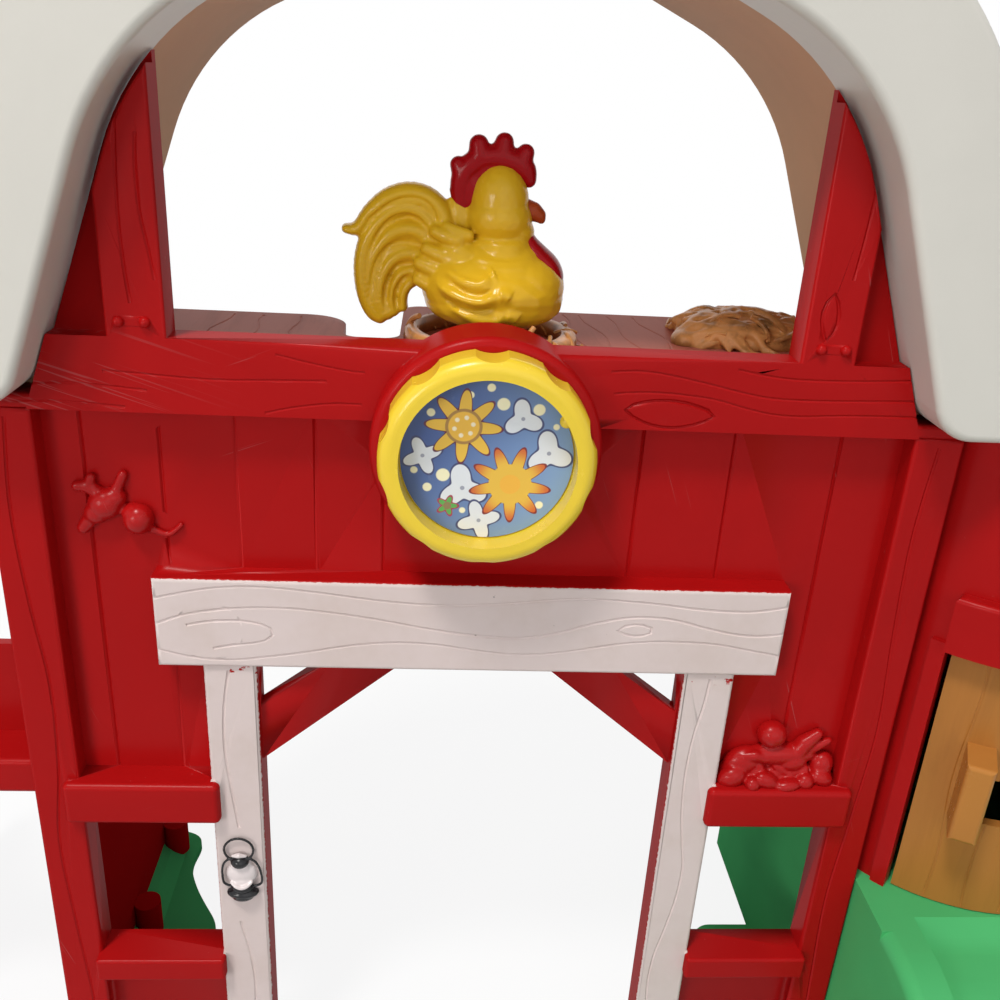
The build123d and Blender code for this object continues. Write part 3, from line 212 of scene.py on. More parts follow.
def moulded(name, colour, roughness=0.26, mottle=0.04, scuff=0.6, pale=None, specular=0.16,
            glaze=None):
    """Glossy injection-moulded plastic: faint flow tones, hairline scratches, a fine skin.

    pale is the colour of a scratch, and glaze is a function of the shade that gives the extra gloss
    of a part of the piece.
    """
    shade = Shade(name)
    flow = shade.noise(22.0, 3.0, 0.6, warp=0.6)
    base = shade.mix(toned(colour, 1 - mottle), toned(colour, 1 + mottle), flow.step(0.3, 0.7))
    lines = shade.scratches()
    rub = shade.noise(260.0, 4.0, 0.7).step(0.58, 0.8)
    pale = pale or tuple(part * 0.6 + 0.3 for part in colour)
    base = shade.mix(base, pale, (lines * 0.14 + rub * 0.015) * scuff)
    rough = roughness + flow * 0.05 + rub * 0.08 + lines * 0.15
    skin = shade.noise(420.0, 2.0) - lines * 0.4
    gloss = {} if glaze is None else {"Coat_Weight": glaze(shade), "Coat_Roughness": roughness}
    return shade.finish(base, rough, skin, 0.000025, Specular_IOR_Level=specular, **gloss)


def outer_glaze(shade):
    """Gloss on the hill and the slide, but not on the hill's dull side towards the barn."""
    dull_side, wall_back, gloss = 110.6, 15.0, 0.25
    x, y, _ = shade.barn_place()
    return (x - dull_side).step(0.0, 0.8).most((wall_back - y).step(0.0, 0.8)) * gloss


def painted_wall(name, red, paint):
    """Red plastic with white paint on the front faces of the lintel and the door posts."""
    shade = Shade(name)
    x, y, z = shade.barn_place()
    wide = abs(x)
    flow = shade.noise(20.0, 3.0, 0.6, warp=0.6)
    plastic = shade.mix(toned(red, 0.96), toned(red, 1.04), flow.step(0.3, 0.7))
    # the left end of the beam has denser scratches that run along it
    worn = (1 - x.step(-102.0, -47.0)) * z.step(211.0, 215.0) * (1 - z.step(230.0, 233.0))
    lines = shade.scratches() + shade.streaks(1.25, 5.0, 0.62) * worn
    rub = shade.noise(260.0, 4.0, 0.7).step(0.58, 0.8)
    plastic = shade.mix(plastic, tuple(part * 0.5 + 0.3 for part in red), lines * 0.14 + rub * 0.008)

    # paint on the front faces, to a ragged edge that goes round their corners by the paint's depth
    ragged, soft, depth = shade.noise(900.0, 3.0, 0.6) - 0.5, 0.12, 0.8
    lintel = (lintel_half - wide).least(z - lintel_low).least(lintel_high - z)
    post = (wide - door_post_in).least(door_post_out - wide).least(lintel_low - z)
    on_lintel = ((lintel + ragged * 0.5).step(0.0, soft)
                 * (lintel_front + depth - y + ragged * 0.3).step(0.0, soft))
    on_post = ((post + ragged * 0.7).step(0.0, soft) * (depth - y + ragged * 0.3).step(0.0, soft)
               * (y + depth).step(0.0, 0.2))
    chips = shade.noise(520.0, 2.0, 0.6)
    near_joint = (1 - abs(z - 147.2).step(0.6, 2.2)) * (1 - on_lintel)
    chipped = chips.step(0.60, 0.64) * near_joint
    cover = on_lintel.most(on_post) * (1 - chipped)
    dirt = shade.noise(55.0, 4.0, 0.65).step(0.4, 0.8)
    grimy = tuple(part * kept for part, kept in zip(paint, (0.92, 0.90, 0.87)))
    white = shade.mix(paint, grimy, dirt * 0.8)
    white = shade.mix(white, (0.10, 0.07, 0.06), shade.noise(420.0, 2.0).step(0.78, 0.82) * 0.6)
    base = shade.mix(plastic, white, cover)
    rough = ((0.26 + flow * 0.05 + rub * 0.07 + lines * 0.15) * (1 - cover)
             + (0.42 + dirt * 0.1) * cover)
    skin = (shade.noise(420.0, 2.0) * 0.5 + shade.noise(1500.0, 2.0) * cover * 0.5 + cover * 1.5
            - lines * 0.4)
    return shade.finish(base, rough, skin, 0.00003, Specular_IOR_Level=0.0, Coat_Weight=0.2,
                        Coat_Roughness=0.3)


def planked(name, colour, dark, grain_scale, roughness, vertical=False, specular=0.2):
    """Brown moulded boards with flowing grain tones along them."""
    shade = Shade(name)
    where = shade.stretched((1.0, 1.0, 0.12) if vertical else (1.0, 0.14, 1.0))
    grain = shade.noise(grain_scale, 5.0, 0.6, where, 1.2)
    fine = shade.noise(grain_scale * 6, 3.0, 0.6, where, 0.5)
    base = shade.mix(colour, dark, grain.step(0.42, 0.75) * 0.5 + fine.step(0.5, 0.8) * 0.25)
    lines = shade.scratches()
    base = shade.mix(base, toned(colour, 1.5), lines * 0.2)
    return shade.finish(base, roughness + grain * 0.1 + lines * 0.15, grain + fine * 0.3, 0.00001,
                        Specular_IOR_Level=specular)


def straw_look(name, colour, dark):
    """Moulded straw: dark hollows, pale fibres, a dull sheen."""
    shade = Shade(name)
    tone = shade.noise(180.0, 3.0, 0.6)
    fibre = shade.noise(900.0, 3.0, 0.6)
    base = shade.mix(dark, colour, tone.step(0.25, 0.6))
    base = shade.mix(base, toned(colour, 1.35), fibre.step(0.55, 0.75) * 0.35)
    return shade.finish(base, 0.3 + fibre * 0.14, fibre, 0.00004, Specular_IOR_Level=0.3)


def steel(name, colour, roughness):
    """Plated steel, brushed and a little tarnished."""
    shade = Shade(name)
    brushed = shade.noise(700.0, 3.0, 0.6, shade.stretched((1.0, 1.0, 5.0)))
    tarnish = shade.noise(120.0, 3.0).step(0.45, 0.8)
    base = shade.mix(colour, toned(colour, 0.6), tarnish * 0.6)
    return shade.finish(base, roughness + brushed * 0.15 + tarnish * 0.15, brushed, 0.00003, 1.0)


def printed(name, night, day, paper, flower, petal, leaf):
    """Printed label of the dial: a blue ground with flowers, round blooms and dots."""
    shade = Shade(name)
    x, _, z = shade.barn_place()
    up = z - dial_z
    ground = shade.mix(night, day, (x * 0.021 - up * 0.012 + 0.48).step(0.0, 1.0))

    def blot(cx, cz):
        """Distance and direction from a place on the label."""
        dx, dz = x - cx, up - cz
        return (dx * dx + dz * dz) ** 0.5, shade.node("Math", {"operation": "ARCTAN2"}, {0: dz, 1: dx})

    def bloom(picture, cx, cz, size, petals, turn, outer, inner, edge, core):
        """A flower with an outlined rim and heart; core is the heart's share of its size."""
        reach, angle = blot(cx, cz)
        wave = shade.node("Math", {"operation": "COSINE"}, {0: angle * petals + turn})
        rim = size * (0.74 + 0.26 * wave)
        picture = shade.mix(picture, edge, 1 - (reach - rim).step(0.25, 0.45))
        tint = shade.mix(inner, outer, (reach / size).step(core, 1.0))
        picture = shade.mix(picture, tint, 1 - (reach - rim).step(-0.25, -0.08))
        return shade.mix(picture, edge, (1 - (reach - size * core).step(0.12, 0.3)) * 0.6)

    def disc(picture, cx, cz, size, colour):
        reach, _ = blot(cx, cz)
        return shade.mix(picture, colour, 1 - (reach - size).step(-0.15, 0.15))

    ink = (0.05, 0.06, 0.16)
    for cx, cz, size, petals in ((13.6, 1.6, 5.4, 3), (-14.2, 0.2, 4.6, 4), (-5.2, -7.2, 5.8, 3),
                                 (-1.2, -15.0, 5.0, 4), (7.4, 9.4, 4.6, 3)):
        ground = bloom(ground, cx, cz, size, petals, cx, paper, paper, ink, 0.05)
    for cx, cz, size in ((-4.2, 14.4, 0.8), (0.2, 16.2, 0.9), (-12.6, 10.2, 0.9), (-16.0, -3.2, 0.8),
                         (-9.6, -4.2, 1.5), (-13.0, -7.2, 1.0), (10.8, 11.6, 1.3), (14.8, 7.8, 0.7),
                         (3.0, 12.6, 1.4), (-5.0, -12.6, 0.7), (12.2, -10.8, 0.9)):
        ground = disc(ground, cx, cz, size, (0.90, 0.86, 0.58))
    ground = bloom(ground, -5.4, 7.2, 8.4, 8, 0.4, petal, petal, (0.12, 0.02, 0.05), 0.46)
    ground = disc(ground, -5.4, 7.2, 3.4, (0.86, 0.50, 0.06))
    for step in range(6):
        turn = math.radians(60 * step + 15)
        ground = disc(ground, -5.4 + 2.1 * math.cos(turn), 7.2 + 2.1 * math.sin(turn), 0.5,
                      (0.95, 0.85, 0.6))
    ground = bloom(ground, 5.4, -6.0, 9.0, 9, 1.2, flower, petal, (0.20, 0.02, 0.02), 0.5)
    ground = disc(ground, 5.4, -6.0, 4.8, petal)
    ground = disc(ground, 5.4, -6.0, 2.3, (0.86, 0.46, 0.05))
    ground = bloom(ground, -8.4, -11.6, 2.4, 5, 0.0, leaf, leaf, (0.35, 0.05, 0.08), 0.3)
    rub = shade.noise(300.0, 4.0, 0.7).step(0.6, 0.85)
    ground = shade.mix(ground, toned(paper, 0.8), rub * 0.12)
    return shade.finish(ground, 0.3 + rub * 0.2, rub, 0.00003)


# ---------------------------------------------------------------- mesh tools
def plain_object(name, mesh, material=None):
    """An object for a mesh, in the scene, with one material or the mesh's own."""
    made = bpy.data.objects.new(name, mesh)
    bpy.context.scene.collection.objects.link(made)
    if material:
        mesh.materials.clear()
        mesh.materials.append(material)
    return made


def baked(obj, name):
    """The evaluated mesh of an object as a plain mesh; the object is removed."""
    graph = bpy.context.evaluated_depsgraph_get()
    mesh = bpy.data.meshes.new_from_object(obj.evaluated_get(graph), depsgraph=graph)
    mesh.name = name
    bpy.data.objects.remove(obj)
    return mesh


def smoothed(mesh, angle):
    """Smooth shading with sharp edges where faces meet at more than the angle."""
    mesh.polygons.foreach_set("use_smooth", [True] * len(mesh.polygons))
    mesh.set_sharp_from_angle(angle=math.radians(angle))
    return mesh


def faired(obj):
    """The mesh of an object with sharp edges by angle and normals that follow its large faces."""
    smoothed(obj.data, crease_angle)
    fair = obj.modifiers.new("fair", "WEIGHTED_NORMAL")
    fair.keep_sharp = True
    return baked(obj, obj.name)


def welded_copy(node):
    """A copy of a CAD node's mesh with its triangles joined, its own normals dropped."""
    work = bmesh.new()
    work.from_mesh(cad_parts[node].data)
    bmesh.ops.remove_doubles(work, verts=work.verts, dist=2e-6)
    mesh = bpy.data.meshes.new(node + "_welded")
    work.to_mesh(mesh)
    work.free()
    return plain_object(node + "_welded", mesh)


def trimmed(mesh, *planes):
    """A mesh cut off outside each plane, a place and an outward direction, and closed there."""
    work = bmesh.new()
    work.from_mesh(mesh)
    for place, outward in planes:
        cut = bmesh.ops.bisect_plane(work, geom=work.verts[:] + work.edges[:] + work.faces[:],
                                     plane_co=place, plane_no=outward, clear_outer=True)
        rim = [e for e in cut["geom_cut"] if isinstance(e, bmesh.types.BMEdge)]
        bmesh.ops.holes_fill(work, edges=rim, sides=0)
    work.to_mesh(mesh)
    work.free()
    return mesh


def above(low):
    """The plane that keeps what lies above a height."""
    return at(0, 0, low), (0, 0, -1)


def in_front(back):
    """The plane that keeps what lies in front of a depth."""
    return at(0, back, 0), (0, 1, 0)


def carve(target, cutter):
    """Cut the grooves out of the target; the cutter is removed."""
    cut = target.modifiers.new("carve", "BOOLEAN")
    cut.operation, cut.solver, cut.object = "DIFFERENCE", "EXACT", cutter
    cut.use_self = True
    mesh = baked(target, target.name)
    bpy.data.objects.remove(cutter)
    return plain_object(mesh.name, mesh)


def open_tree(name, *inputs):
    """A geometry node group with a Geometry input and output, and further named inputs."""
    tree = bpy.data.node_groups.new(name, "GeometryNodeTree")
    tree.interface.new_socket("Geometry", in_out="INPUT", socket_type="NodeSocketGeometry")
    tree.interface.new_socket("Geometry", in_out="OUTPUT", socket_type="NodeSocketGeometry")
    for label, kind, default in inputs:
        socket = tree.interface.new_socket(label, in_out="INPUT", socket_type="NodeSocket" + kind)
        if default is not None:
            socket.default_value = default
    source, end = tree.nodes.new("NodeGroupInput"), tree.nodes.new("NodeGroupOutput")

    def add(kind, settings=None, **feeds):
        """A node with its settings, and with values or links for its sockets by name or by i0, i1."""
        made = tree.nodes.new(kind)
        for key, value in (settings or {}).items():
            setattr(made, key, value)
        for key, value in feeds.items():
            socket = made.inputs[int(key[1:]) if key[1:].isdigit() else key.replace("_", " ")]
            if isinstance(value, bpy.types.NodeSocket):
                tree.links.new(value, socket)
            else:
                socket.default_value = value
        return made

    return tree, source, end, add


def apply_tree(obj, tree, **values):
    """Put a geometry node tree on an object and set its named inputs by their identifiers."""
    tool = obj.modifiers.new(tree.name, "NODES")
    tool.node_group = tree
    for item in tree.interface.items_tree:
        label = item.name.replace(" ", "_")
        if getattr(item, "in_out", "") == "INPUT" and label in values:
            tool[item.identifier] = values[label]
    return obj


def tube_tree():
    """Round tubes that follow smooth lines through given points."""
    tree, source, end, add = open_tree("round_tubes", ("Radius", "Float", 0.00045),
                                       ("Step", "Float", 0.0025), ("Material", "Material", None))
    smooth = add("GeometryNodeCurveSplineType", {"spline_type": "CATMULL_ROM"},
                 Curve=source.outputs["Geometry"])
    even = add("GeometryNodeResampleCurve", {"mode": "LENGTH"}, Curve=smooth.outputs[0],
               Length=source.outputs["Step"])
    ring = add("GeometryNodeCurvePrimitiveCircle", Resolution=8, Radius=source.outputs["Radius"])
    tube = add("GeometryNodeCurveToMesh", Curve=even.outputs[0], Profile_Curve=ring.outputs[0],
               Fill_Caps=True)
    real = add("GeometryNodeRealizeInstances", Geometry=tube.outputs[0])
    paint = add("GeometryNodeSetMaterial", Geometry=real.outputs[0],
                Material=source.outputs["Material"])
    tree.links.new(paint.outputs[0], end.inputs[0])
    return tree


def tubes(lines, radius, material, step=2.5):
    """One object of round tubes along many lines, each a list of places in metres and whether it
    is closed. The radius and the step along the lines are in millimetres.
    """
    curve = bpy.data.curves.new("tubes", "CURVE")
    curve.dimensions = "3D"
    for places, closed in lines:
        spline = curve.splines.new("POLY")
        spline.points.add(len(places) - 1)
        for point, place in zip(spline.points, places):
            point.co = (*place, 1.0)
        spline.use_cyclic_u = closed
    holder = bpy.data.objects.new("tubes", curve)
    bpy.context.scene.collection.objects.link(holder)
    apply_tree(holder, tube_tree(), Radius=radius / 1000, Step=step / 1000, Material=material)
    mesh = baked(holder, "tubes")
    work = bmesh.new()
    work.from_mesh(mesh)
    bmesh.ops.recalc_face_normals(work, faces=work.faces)
    work.to_mesh(mesh)
    work.free()
    return plain_object("tubes", mesh)


ball_template = None                     # points and faces of a ball, made once


def lumps(name, balls, voxel, passes):
    """A smooth solid from overlapping ellipsoids: each a centre, three radii and a turn about Y.

    The voxel size sets the detail, and more smoothing passes round it off.
    """
    global ball_template
    if ball_template is None:
        work = bmesh.new()
        bmesh.ops.create_icosphere(work, subdivisions=3, radius=1.0)
        ball_template = (np.array([v.co for v in work.verts]),
                         np.array([[v.index for v in f.verts] for f in work.faces]))
        work.free()
    points, faces = ball_template
    all_points, all_faces, count = [], [], 0
    for centre, radii, turn in balls:
        turned = np.array(Matrix.Rotation(math.radians(turn), 3, "Y"))
        shaped = (points * np.array(radii)) @ turned.T + np.array(centre)
        all_points.append(shaped)
        all_faces.append(faces + count)
        count += len(points)
    spots = (np.concatenate(all_points) + np.array([*barn_shift, 0.0])) / 1000
    mesh = bpy.data.meshes.new(name)
    mesh.from_pydata(spots.tolist(), [], np.concatenate(all_faces).tolist())
    holder = plain_object(name + "_rough", mesh)
    remesh = holder.modifiers.new("remesh", "REMESH")
    remesh.mode, remesh.voxel_size, remesh.adaptivity = "VOXEL", voxel / 1000, 0.0
    relax = holder.modifiers.new("relax", "SMOOTH")
    relax.factor, relax.iterations = 0.5, passes
    return baked(holder, name)


def chain(places, step=0.45):
    """Balls along a line of (x, y, z, radius) places, close enough to read as one tube."""
    balls = []
    for first, second in zip(places, places[1:]):
        length = math.dist(first[:3], second[:3])
        parts = max(1, int(length / (step * min(first[3], second[3]))))
        for part in range(parts):
            share = part / parts
            x, y, z, r = (a + (b - a) * share for a, b in zip(first, second))
            balls.append(((x, y, z), (r, r, r), 0.0))
    x, y, z, r = places[-1]
    return balls + [((x, y, z), (r, r, r), 0.0)]


def curved(points, parts=6):
    """A Catmull-Rom line through points of any number of values."""
    line = [points[0], *points, points[-1]]
    made = []
    for a, b, c, d in zip(line, line[1:], line[2:], line[3:]):
        for part in range(parts):
            t = part / parts
            made.append(tuple(
                0.5 * ((2 * q) + (r - p) * t + (2 * p - 5 * q + 4 * r - s) * t * t
                       + (3 * q - p - 3 * r + s) * t ** 3) for p, q, r, s in zip(a, b, c, d)))
    return made + [tuple(points[-1])]


def sculpt(mesh, strokes, middle_y):
    """Push a mesh's surface in or out along lines drawn in X and Z, on both of its faces.

    Each stroke is (points, half width, height, reach in Y): height above 0 raises a ridge.
    """
    count = len(mesh.vertices)
    spots, normals = np.empty(count * 3), np.empty(count * 3)
    mesh.vertices.foreach_get("co", spots)
    mesh.vertices.foreach_get("normal", normals)
    spots, normals = spots.reshape(-1, 3) * 1000, normals.reshape(-1, 3)
    flat = spots[:, [0, 2]] - np.array([barn_shift[0], 0.0])
    depth = np.abs(spots[:, 1] - barn_shift[1] - middle_y)
    # full on what faces the front or the back, and nothing on the rims
    facing = np.clip(np.abs(normals[:, 1]) * 1.6 - 0.2, 0.0, 1.0)
    push = np.zeros(count)
    for points, wide, height, (near, far) in strokes:
        line = np.array(curved(points))
        best, share_at = np.full(count, 1e9), np.zeros(count)
        for index, (a, b) in enumerate(zip(line, line[1:])):
            along = b - a
            t = np.clip(((flat - a) @ along) / max(along @ along, 1e-9), 0, 1)
            gap = np.linalg.norm(flat - a - t[:, None] * along, axis=1)
            closer = gap < best
            best[closer] = gap[closer]
            share_at[closer] = (index + t[closer]) / (len(line) - 1)
        # a stroke fades towards its ends
        taper = np.clip(np.minimum(share_at, 1 - share_at) * 7, 0.25, 1.0)
        inside = (depth >= near) & (depth <= far)
        push += np.where(inside, height * taper * np.exp(-(best / wide) ** 2) * facing, 0.0)
    spots += normals * push[:, None]
    mesh.vertices.foreach_set("co", (spots / 1000).ravel())
    mesh.update()
    return mesh


def ride_on(obj, body, slot, *nodes):
    """Fasten a finished piece to its body and hide the CAD nodes that it stands for."""
    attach(obj, body)
    if nodes:
        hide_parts(*nodes)
    return obj


def coat(material, *nodes):
    """Give CAD nodes a material through their own material slots."""
    for node in nodes:
        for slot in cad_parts[node].material_slots:
            slot.material = material


# ---------------------------------------------------------------- user settings
def colour_setting(label, default):
    return bpy.props.FloatVectorProperty(name=label, description=f"{label} of the finish",
                                         subtype="COLOR", size=3, min=0.0, max=1.0, default=default)


class BarnColours(bpy.types.PropertyGroup):
    """Colours of the barn's plastics and paint."""
    red: colour_setting("Red plastic", (0.385, 0.0055, 0.006))
    cream: colour_setting("Cream plastic", (0.67, 0.65, 0.59))
    paint: colour_setting("White paint", (0.71, 0.60, 0.575))
    yellow: colour_setting("Yellow plastic", (0.70, 0.42, 0.016))
    comb: colour_setting("Comb red", (0.32, 0.003, 0.006))
    beak: colour_setting("Beak orange", (0.36, 0.055, 0.012))
    floor: colour_setting("Floor brown", (0.47, 0.145, 0.10))
    straw: colour_setting("Straw", (0.60, 0.27, 0.085))
    tan: colour_setting("Door tan", (0.41, 0.165, 0.034))
    pull: colour_setting("Pull tan", (0.45, 0.185, 0.038))
    green: colour_setting("Green plastic", (0.075, 0.45, 0.15))


class BarnSizes(bpy.types.PropertyGroup):
    """Sizes of the barn's moulded detail."""
    grain_radius: bpy.props.FloatProperty(
        name="Grain line radius",
        description="Radius of the round cutter of a grain line, in millimetres",
        default=0.5, min=0.2, max=1.2)
    grain_rise: bpy.props.FloatProperty(
        name="Grain cutter rise",
        description="How far the cutter's middle stands off the face, in millimetres",
        default=0.12, min=0.0, max=0.6)
    straw_count: bpy.props.IntProperty(
        name="Straws on the heap",
        description="Number of moulded straws on the hay heap",
        default=26, min=0, max=400)
    sculpt_voxel: bpy.props.FloatProperty(
        name="Figure voxel",
        description="Voxel size of the sculpted figures, in millimetres",
        default=0.42, min=0.25, max=1.5)


def sizes():
    return bpy.context.scene.barn_sizes


def tint(name):
    return tuple(getattr(bpy.context.scene.barn_colours, name))


# ---------------------------------------------------------------- grain lines
# Each line is its places in X and Z on a front face; a knot is closed.
lintel_lines = (
    ((-77.9, 167.7), (-65.7, 170.5), (-56.8, 171.4), (-48.3, 171.2), (-38.4, 170.2), (-28.3, 168.9),
     (-18.2, 167.9), (-6.9, 167.5), (6.2, 168.3), (21.1, 169.9), (30.0, 170.1), (43.8, 169.2),
     (54.7, 168.0), (64.4, 167.5), (71.3, 167.9), (78.4, 169.4)),
    ((-78.4, 160.4), (-71.1, 163.3), (-60.5, 165.3), (-48.5, 165.8), (-38.5, 165.1), (-25.8, 163.4),
     (-12.9, 161.0), (-3.4, 159.6), (6.0, 158.8), (12.6, 158.9), (20.9, 160.6), (28.3, 163.0),
     (35.8, 164.9), (41.9, 165.4), (49.3, 164.8), (57.3, 162.7), (65.4, 161.0), (72.1, 160.7),
     (78.4, 161.6)),
    ((-78.4, 153.9), (-70.0, 151.7), (-62.0, 150.9), (-56.7, 151.2), (-43.8, 153.1), (-30.9, 155.6),
     (-20.6, 156.7), (-10.2, 156.4), (0.0, 154.9), (8.0, 154.0), (15.0, 154.0), (24.0, 155.2),
     (28.9, 156.2), (36.6, 157.6), (44.3, 158.4), (54.0, 158.4), (61.9, 157.8), (70.0, 156.3),
     (78.4, 154.8)),
    ((-70.3, 160.6), (-63.7, 161.9), (-56.2, 162.0), (-51.2, 160.8), (-49.3, 158.8), (-51.3, 156.7),
     (-54.9, 155.7), (-59.0, 155.3), (-64.2, 154.2)),
)
lintel_knot = ((35.3, 161.5), (37.4, 162.9), (39.9, 163.3), (42.4, 162.9), (44.5, 161.7), (42.4, 160.4),
               (39.9, 160.0), (37.4, 160.4))
beam_lines = (
    ((-104.0, 219.5), (-101.9, 219.8), (-92.6, 220.4), (-83.4, 219.9), (-75.0, 219.2)),
    ((-84.2, 223.4), (-75.5, 222.9), (-65.2, 222.3), (-56.9, 222.2), (-48.1, 222.5), (-35.8, 222.8)),
    ((-46.8, 228.4), (-40.2, 226.9), (-31.3, 225.3), (-27.4, 225.0)),
    ((-106.0, 215.6), (-99.6, 216.0), (-90.4, 215.9), (-80.0, 215.2)),
    ((-49.5, 214.9), (-43.2, 216.4), (-34.8, 217.6), (-28.0, 217.6)),
    ((27.4, 227.4), (33.0, 227.8), (38.8, 227.4), (48.4, 225.7), (56.8, 223.9), (64.8, 222.6),
     (74.9, 222.4), (86.9, 222.7), (106.0, 223.4)),
    ((28.4, 222.3), (33.0, 222.8), (40.5, 222.9), (51.2, 221.9), (58.6, 220.1), (65.4, 218.8),
     (72.6, 218.5), (84.5, 219.1), (106.0, 219.4)),
    ((56.1, 229.0), (63.3, 227.8), (71.1, 227.2), (85.9, 227.4), (104.0, 228.4)),
)
beam_knot = ((31.4, 218.7), (35.3, 220.6), (40.9, 221.2), (46.9, 220.4), (52.1, 218.1), (47.9, 215.7),
             (42.1, 214.7), (36.1, 215.7))
post_lines = (
    ((-61.0, 147.2), (-62.5, 137.5), (-63.1, 128.9), (-63.0, 119.3), (-61.8, 107.4), (-60.7, 97.6)),
    ((-61.8, 64.6), (-61.5, 62.0), (-60.1, 55.0), (-59.0, 46.6), (-58.8, 34.5), (-59.6, 20.0),
     (-60.2, 6.0)),
    ((61.0, 147.2), (60.4, 139.0), (59.0, 129.4), (58.4, 117.4), (59.0, 104.3), (60.6, 92.1),
     (61.7, 84.3), (61.2, 73.1), (59.2, 60.7), (57.3, 50.4), (56.8, 38.0), (58.5, 22.0), (60.0, 6.0)),
    ((-75.9, 285.4), (-76.8, 276.0), (-77.5, 265.9), (-77.8, 257.1), (-77.6, 247.3), (-76.9, 238.4)),
    ((-73.0, 272.9), (-73.6, 265.4), (-73.4, 257.4), (-72.3, 250.2), (-71.4, 243.5)),
    ((79.6, 281.0), (79.9, 270.0), (79.4, 259.0), (78.6, 250.0)),
    ((-106.5, 212.0), (-108.0, 190.0), (-106.9, 166.0), (-104.8, 142.0), (-105.8, 116.0),
     (-108.2, 92.0), (-106.8, 62.0), (-105.2, 34.0), (-106.6, 8.0)),
    ((106.8, 212.0), (105.4, 188.0), (106.6, 160.0), (108.4, 132.0), (107.0, 104.0), (105.2, 74.0),
     (106.4, 42.0), (108.0, 10.0)),
)
post_knot = ((75.0, 246.9), (73.4, 244.4), (73.1, 240.9), (74.9, 236.4), (76.7, 239.4), (76.5, 243.6))


def front_lines(lines, face, rise, closed=False):
    """Lines for tubes() whose middle stands in front of a face."""
    return [([at(x, face - rise, z) for x, z in line], closed) for line in lines]


class BARN_OT_front_wall(bpy.types.Operator):
    """Front wall with its wood grain cut in and white paint on the lintel and door posts"""
    bl_idname = "barn.front_wall"
    bl_label = "Front wall"

    def execute(self, context):
        material = painted_wall("red_wall_painted", tint("red"), tint("paint"))
        rise, radius = sizes().grain_rise, sizes().grain_radius
        lines = (front_lines(lintel_lines, lintel_front, rise)
                 + front_lines([lintel_knot], lintel_front, rise, True)
                 + front_lines(beam_lines, 0.0, rise + 0.14) + front_lines([beam_knot], 0.0, 0.0, True)
                 + front_lines(post_lines, 0.0, rise) + front_lines([post_knot], 0.0, 0.0, True))
        wall = carve(welded_copy("front_wall"), tubes(lines, radius, material))
        # a faint round mark at the lintel's left end
        ring = [(-64.9 + 8.2 * math.cos(turn), 158.9 + 8.0 * math.sin(turn))
                for turn in np.linspace(0.0, 2 * math.pi, 25)[:-1]]
        mark = tubes(front_lines([ring], lintel_front, 0.3, True), 0.42, material, 1.6)
        wall = carve(wall, mark)
        dressed = plain_object("front_wall_grained", faired(wall), material)
        ride_on(dressed, "barn", "red_plastic", "front_wall")
        return {"FINISHED"}


class BARN_OT_silo_door(bpy.types.Operator):
    """Silo door with its board lines cut into the curved face"""
    bl_idname = "barn.silo_door"
    bl_label = "Silo door"

    def execute(self, context):
        material = planked("tan_boards", tint("tan"), toned(tint("tan"), 0.72), 60.0, 0.3, True)
        lines = []
        reach, foot, rise = door_out_r + 0.2, hill_top + 1.2, 9.6
        for angle, sway in ((-30.5, 0.8), (-19.0, -0.6), (-7.5, 0.7), (4.0, -0.8), (15.5, 0.6),
                            (27.0, -0.6)):
            places = []
            for step in range(9):
                turn = math.radians(angle + sway * math.sin(step * 1.1))
                places.append(at(silo_x + reach * math.sin(turn), silo_y - reach * math.cos(turn),
                                 foot + step * rise))
            lines.append((places, False))
        door = carve(welded_copy("silo_door"), tubes(lines, 0.5, material))
        dressed = plain_object("silo_door_boards", faired(door), material)
        ride_on(dressed, "silo_door", "tan_plastic", "silo_door")
        coat(moulded("tan_pull", tint("pull"), 0.22, scuff=0.4), "silo_pull")
        return {"FINISHED"}


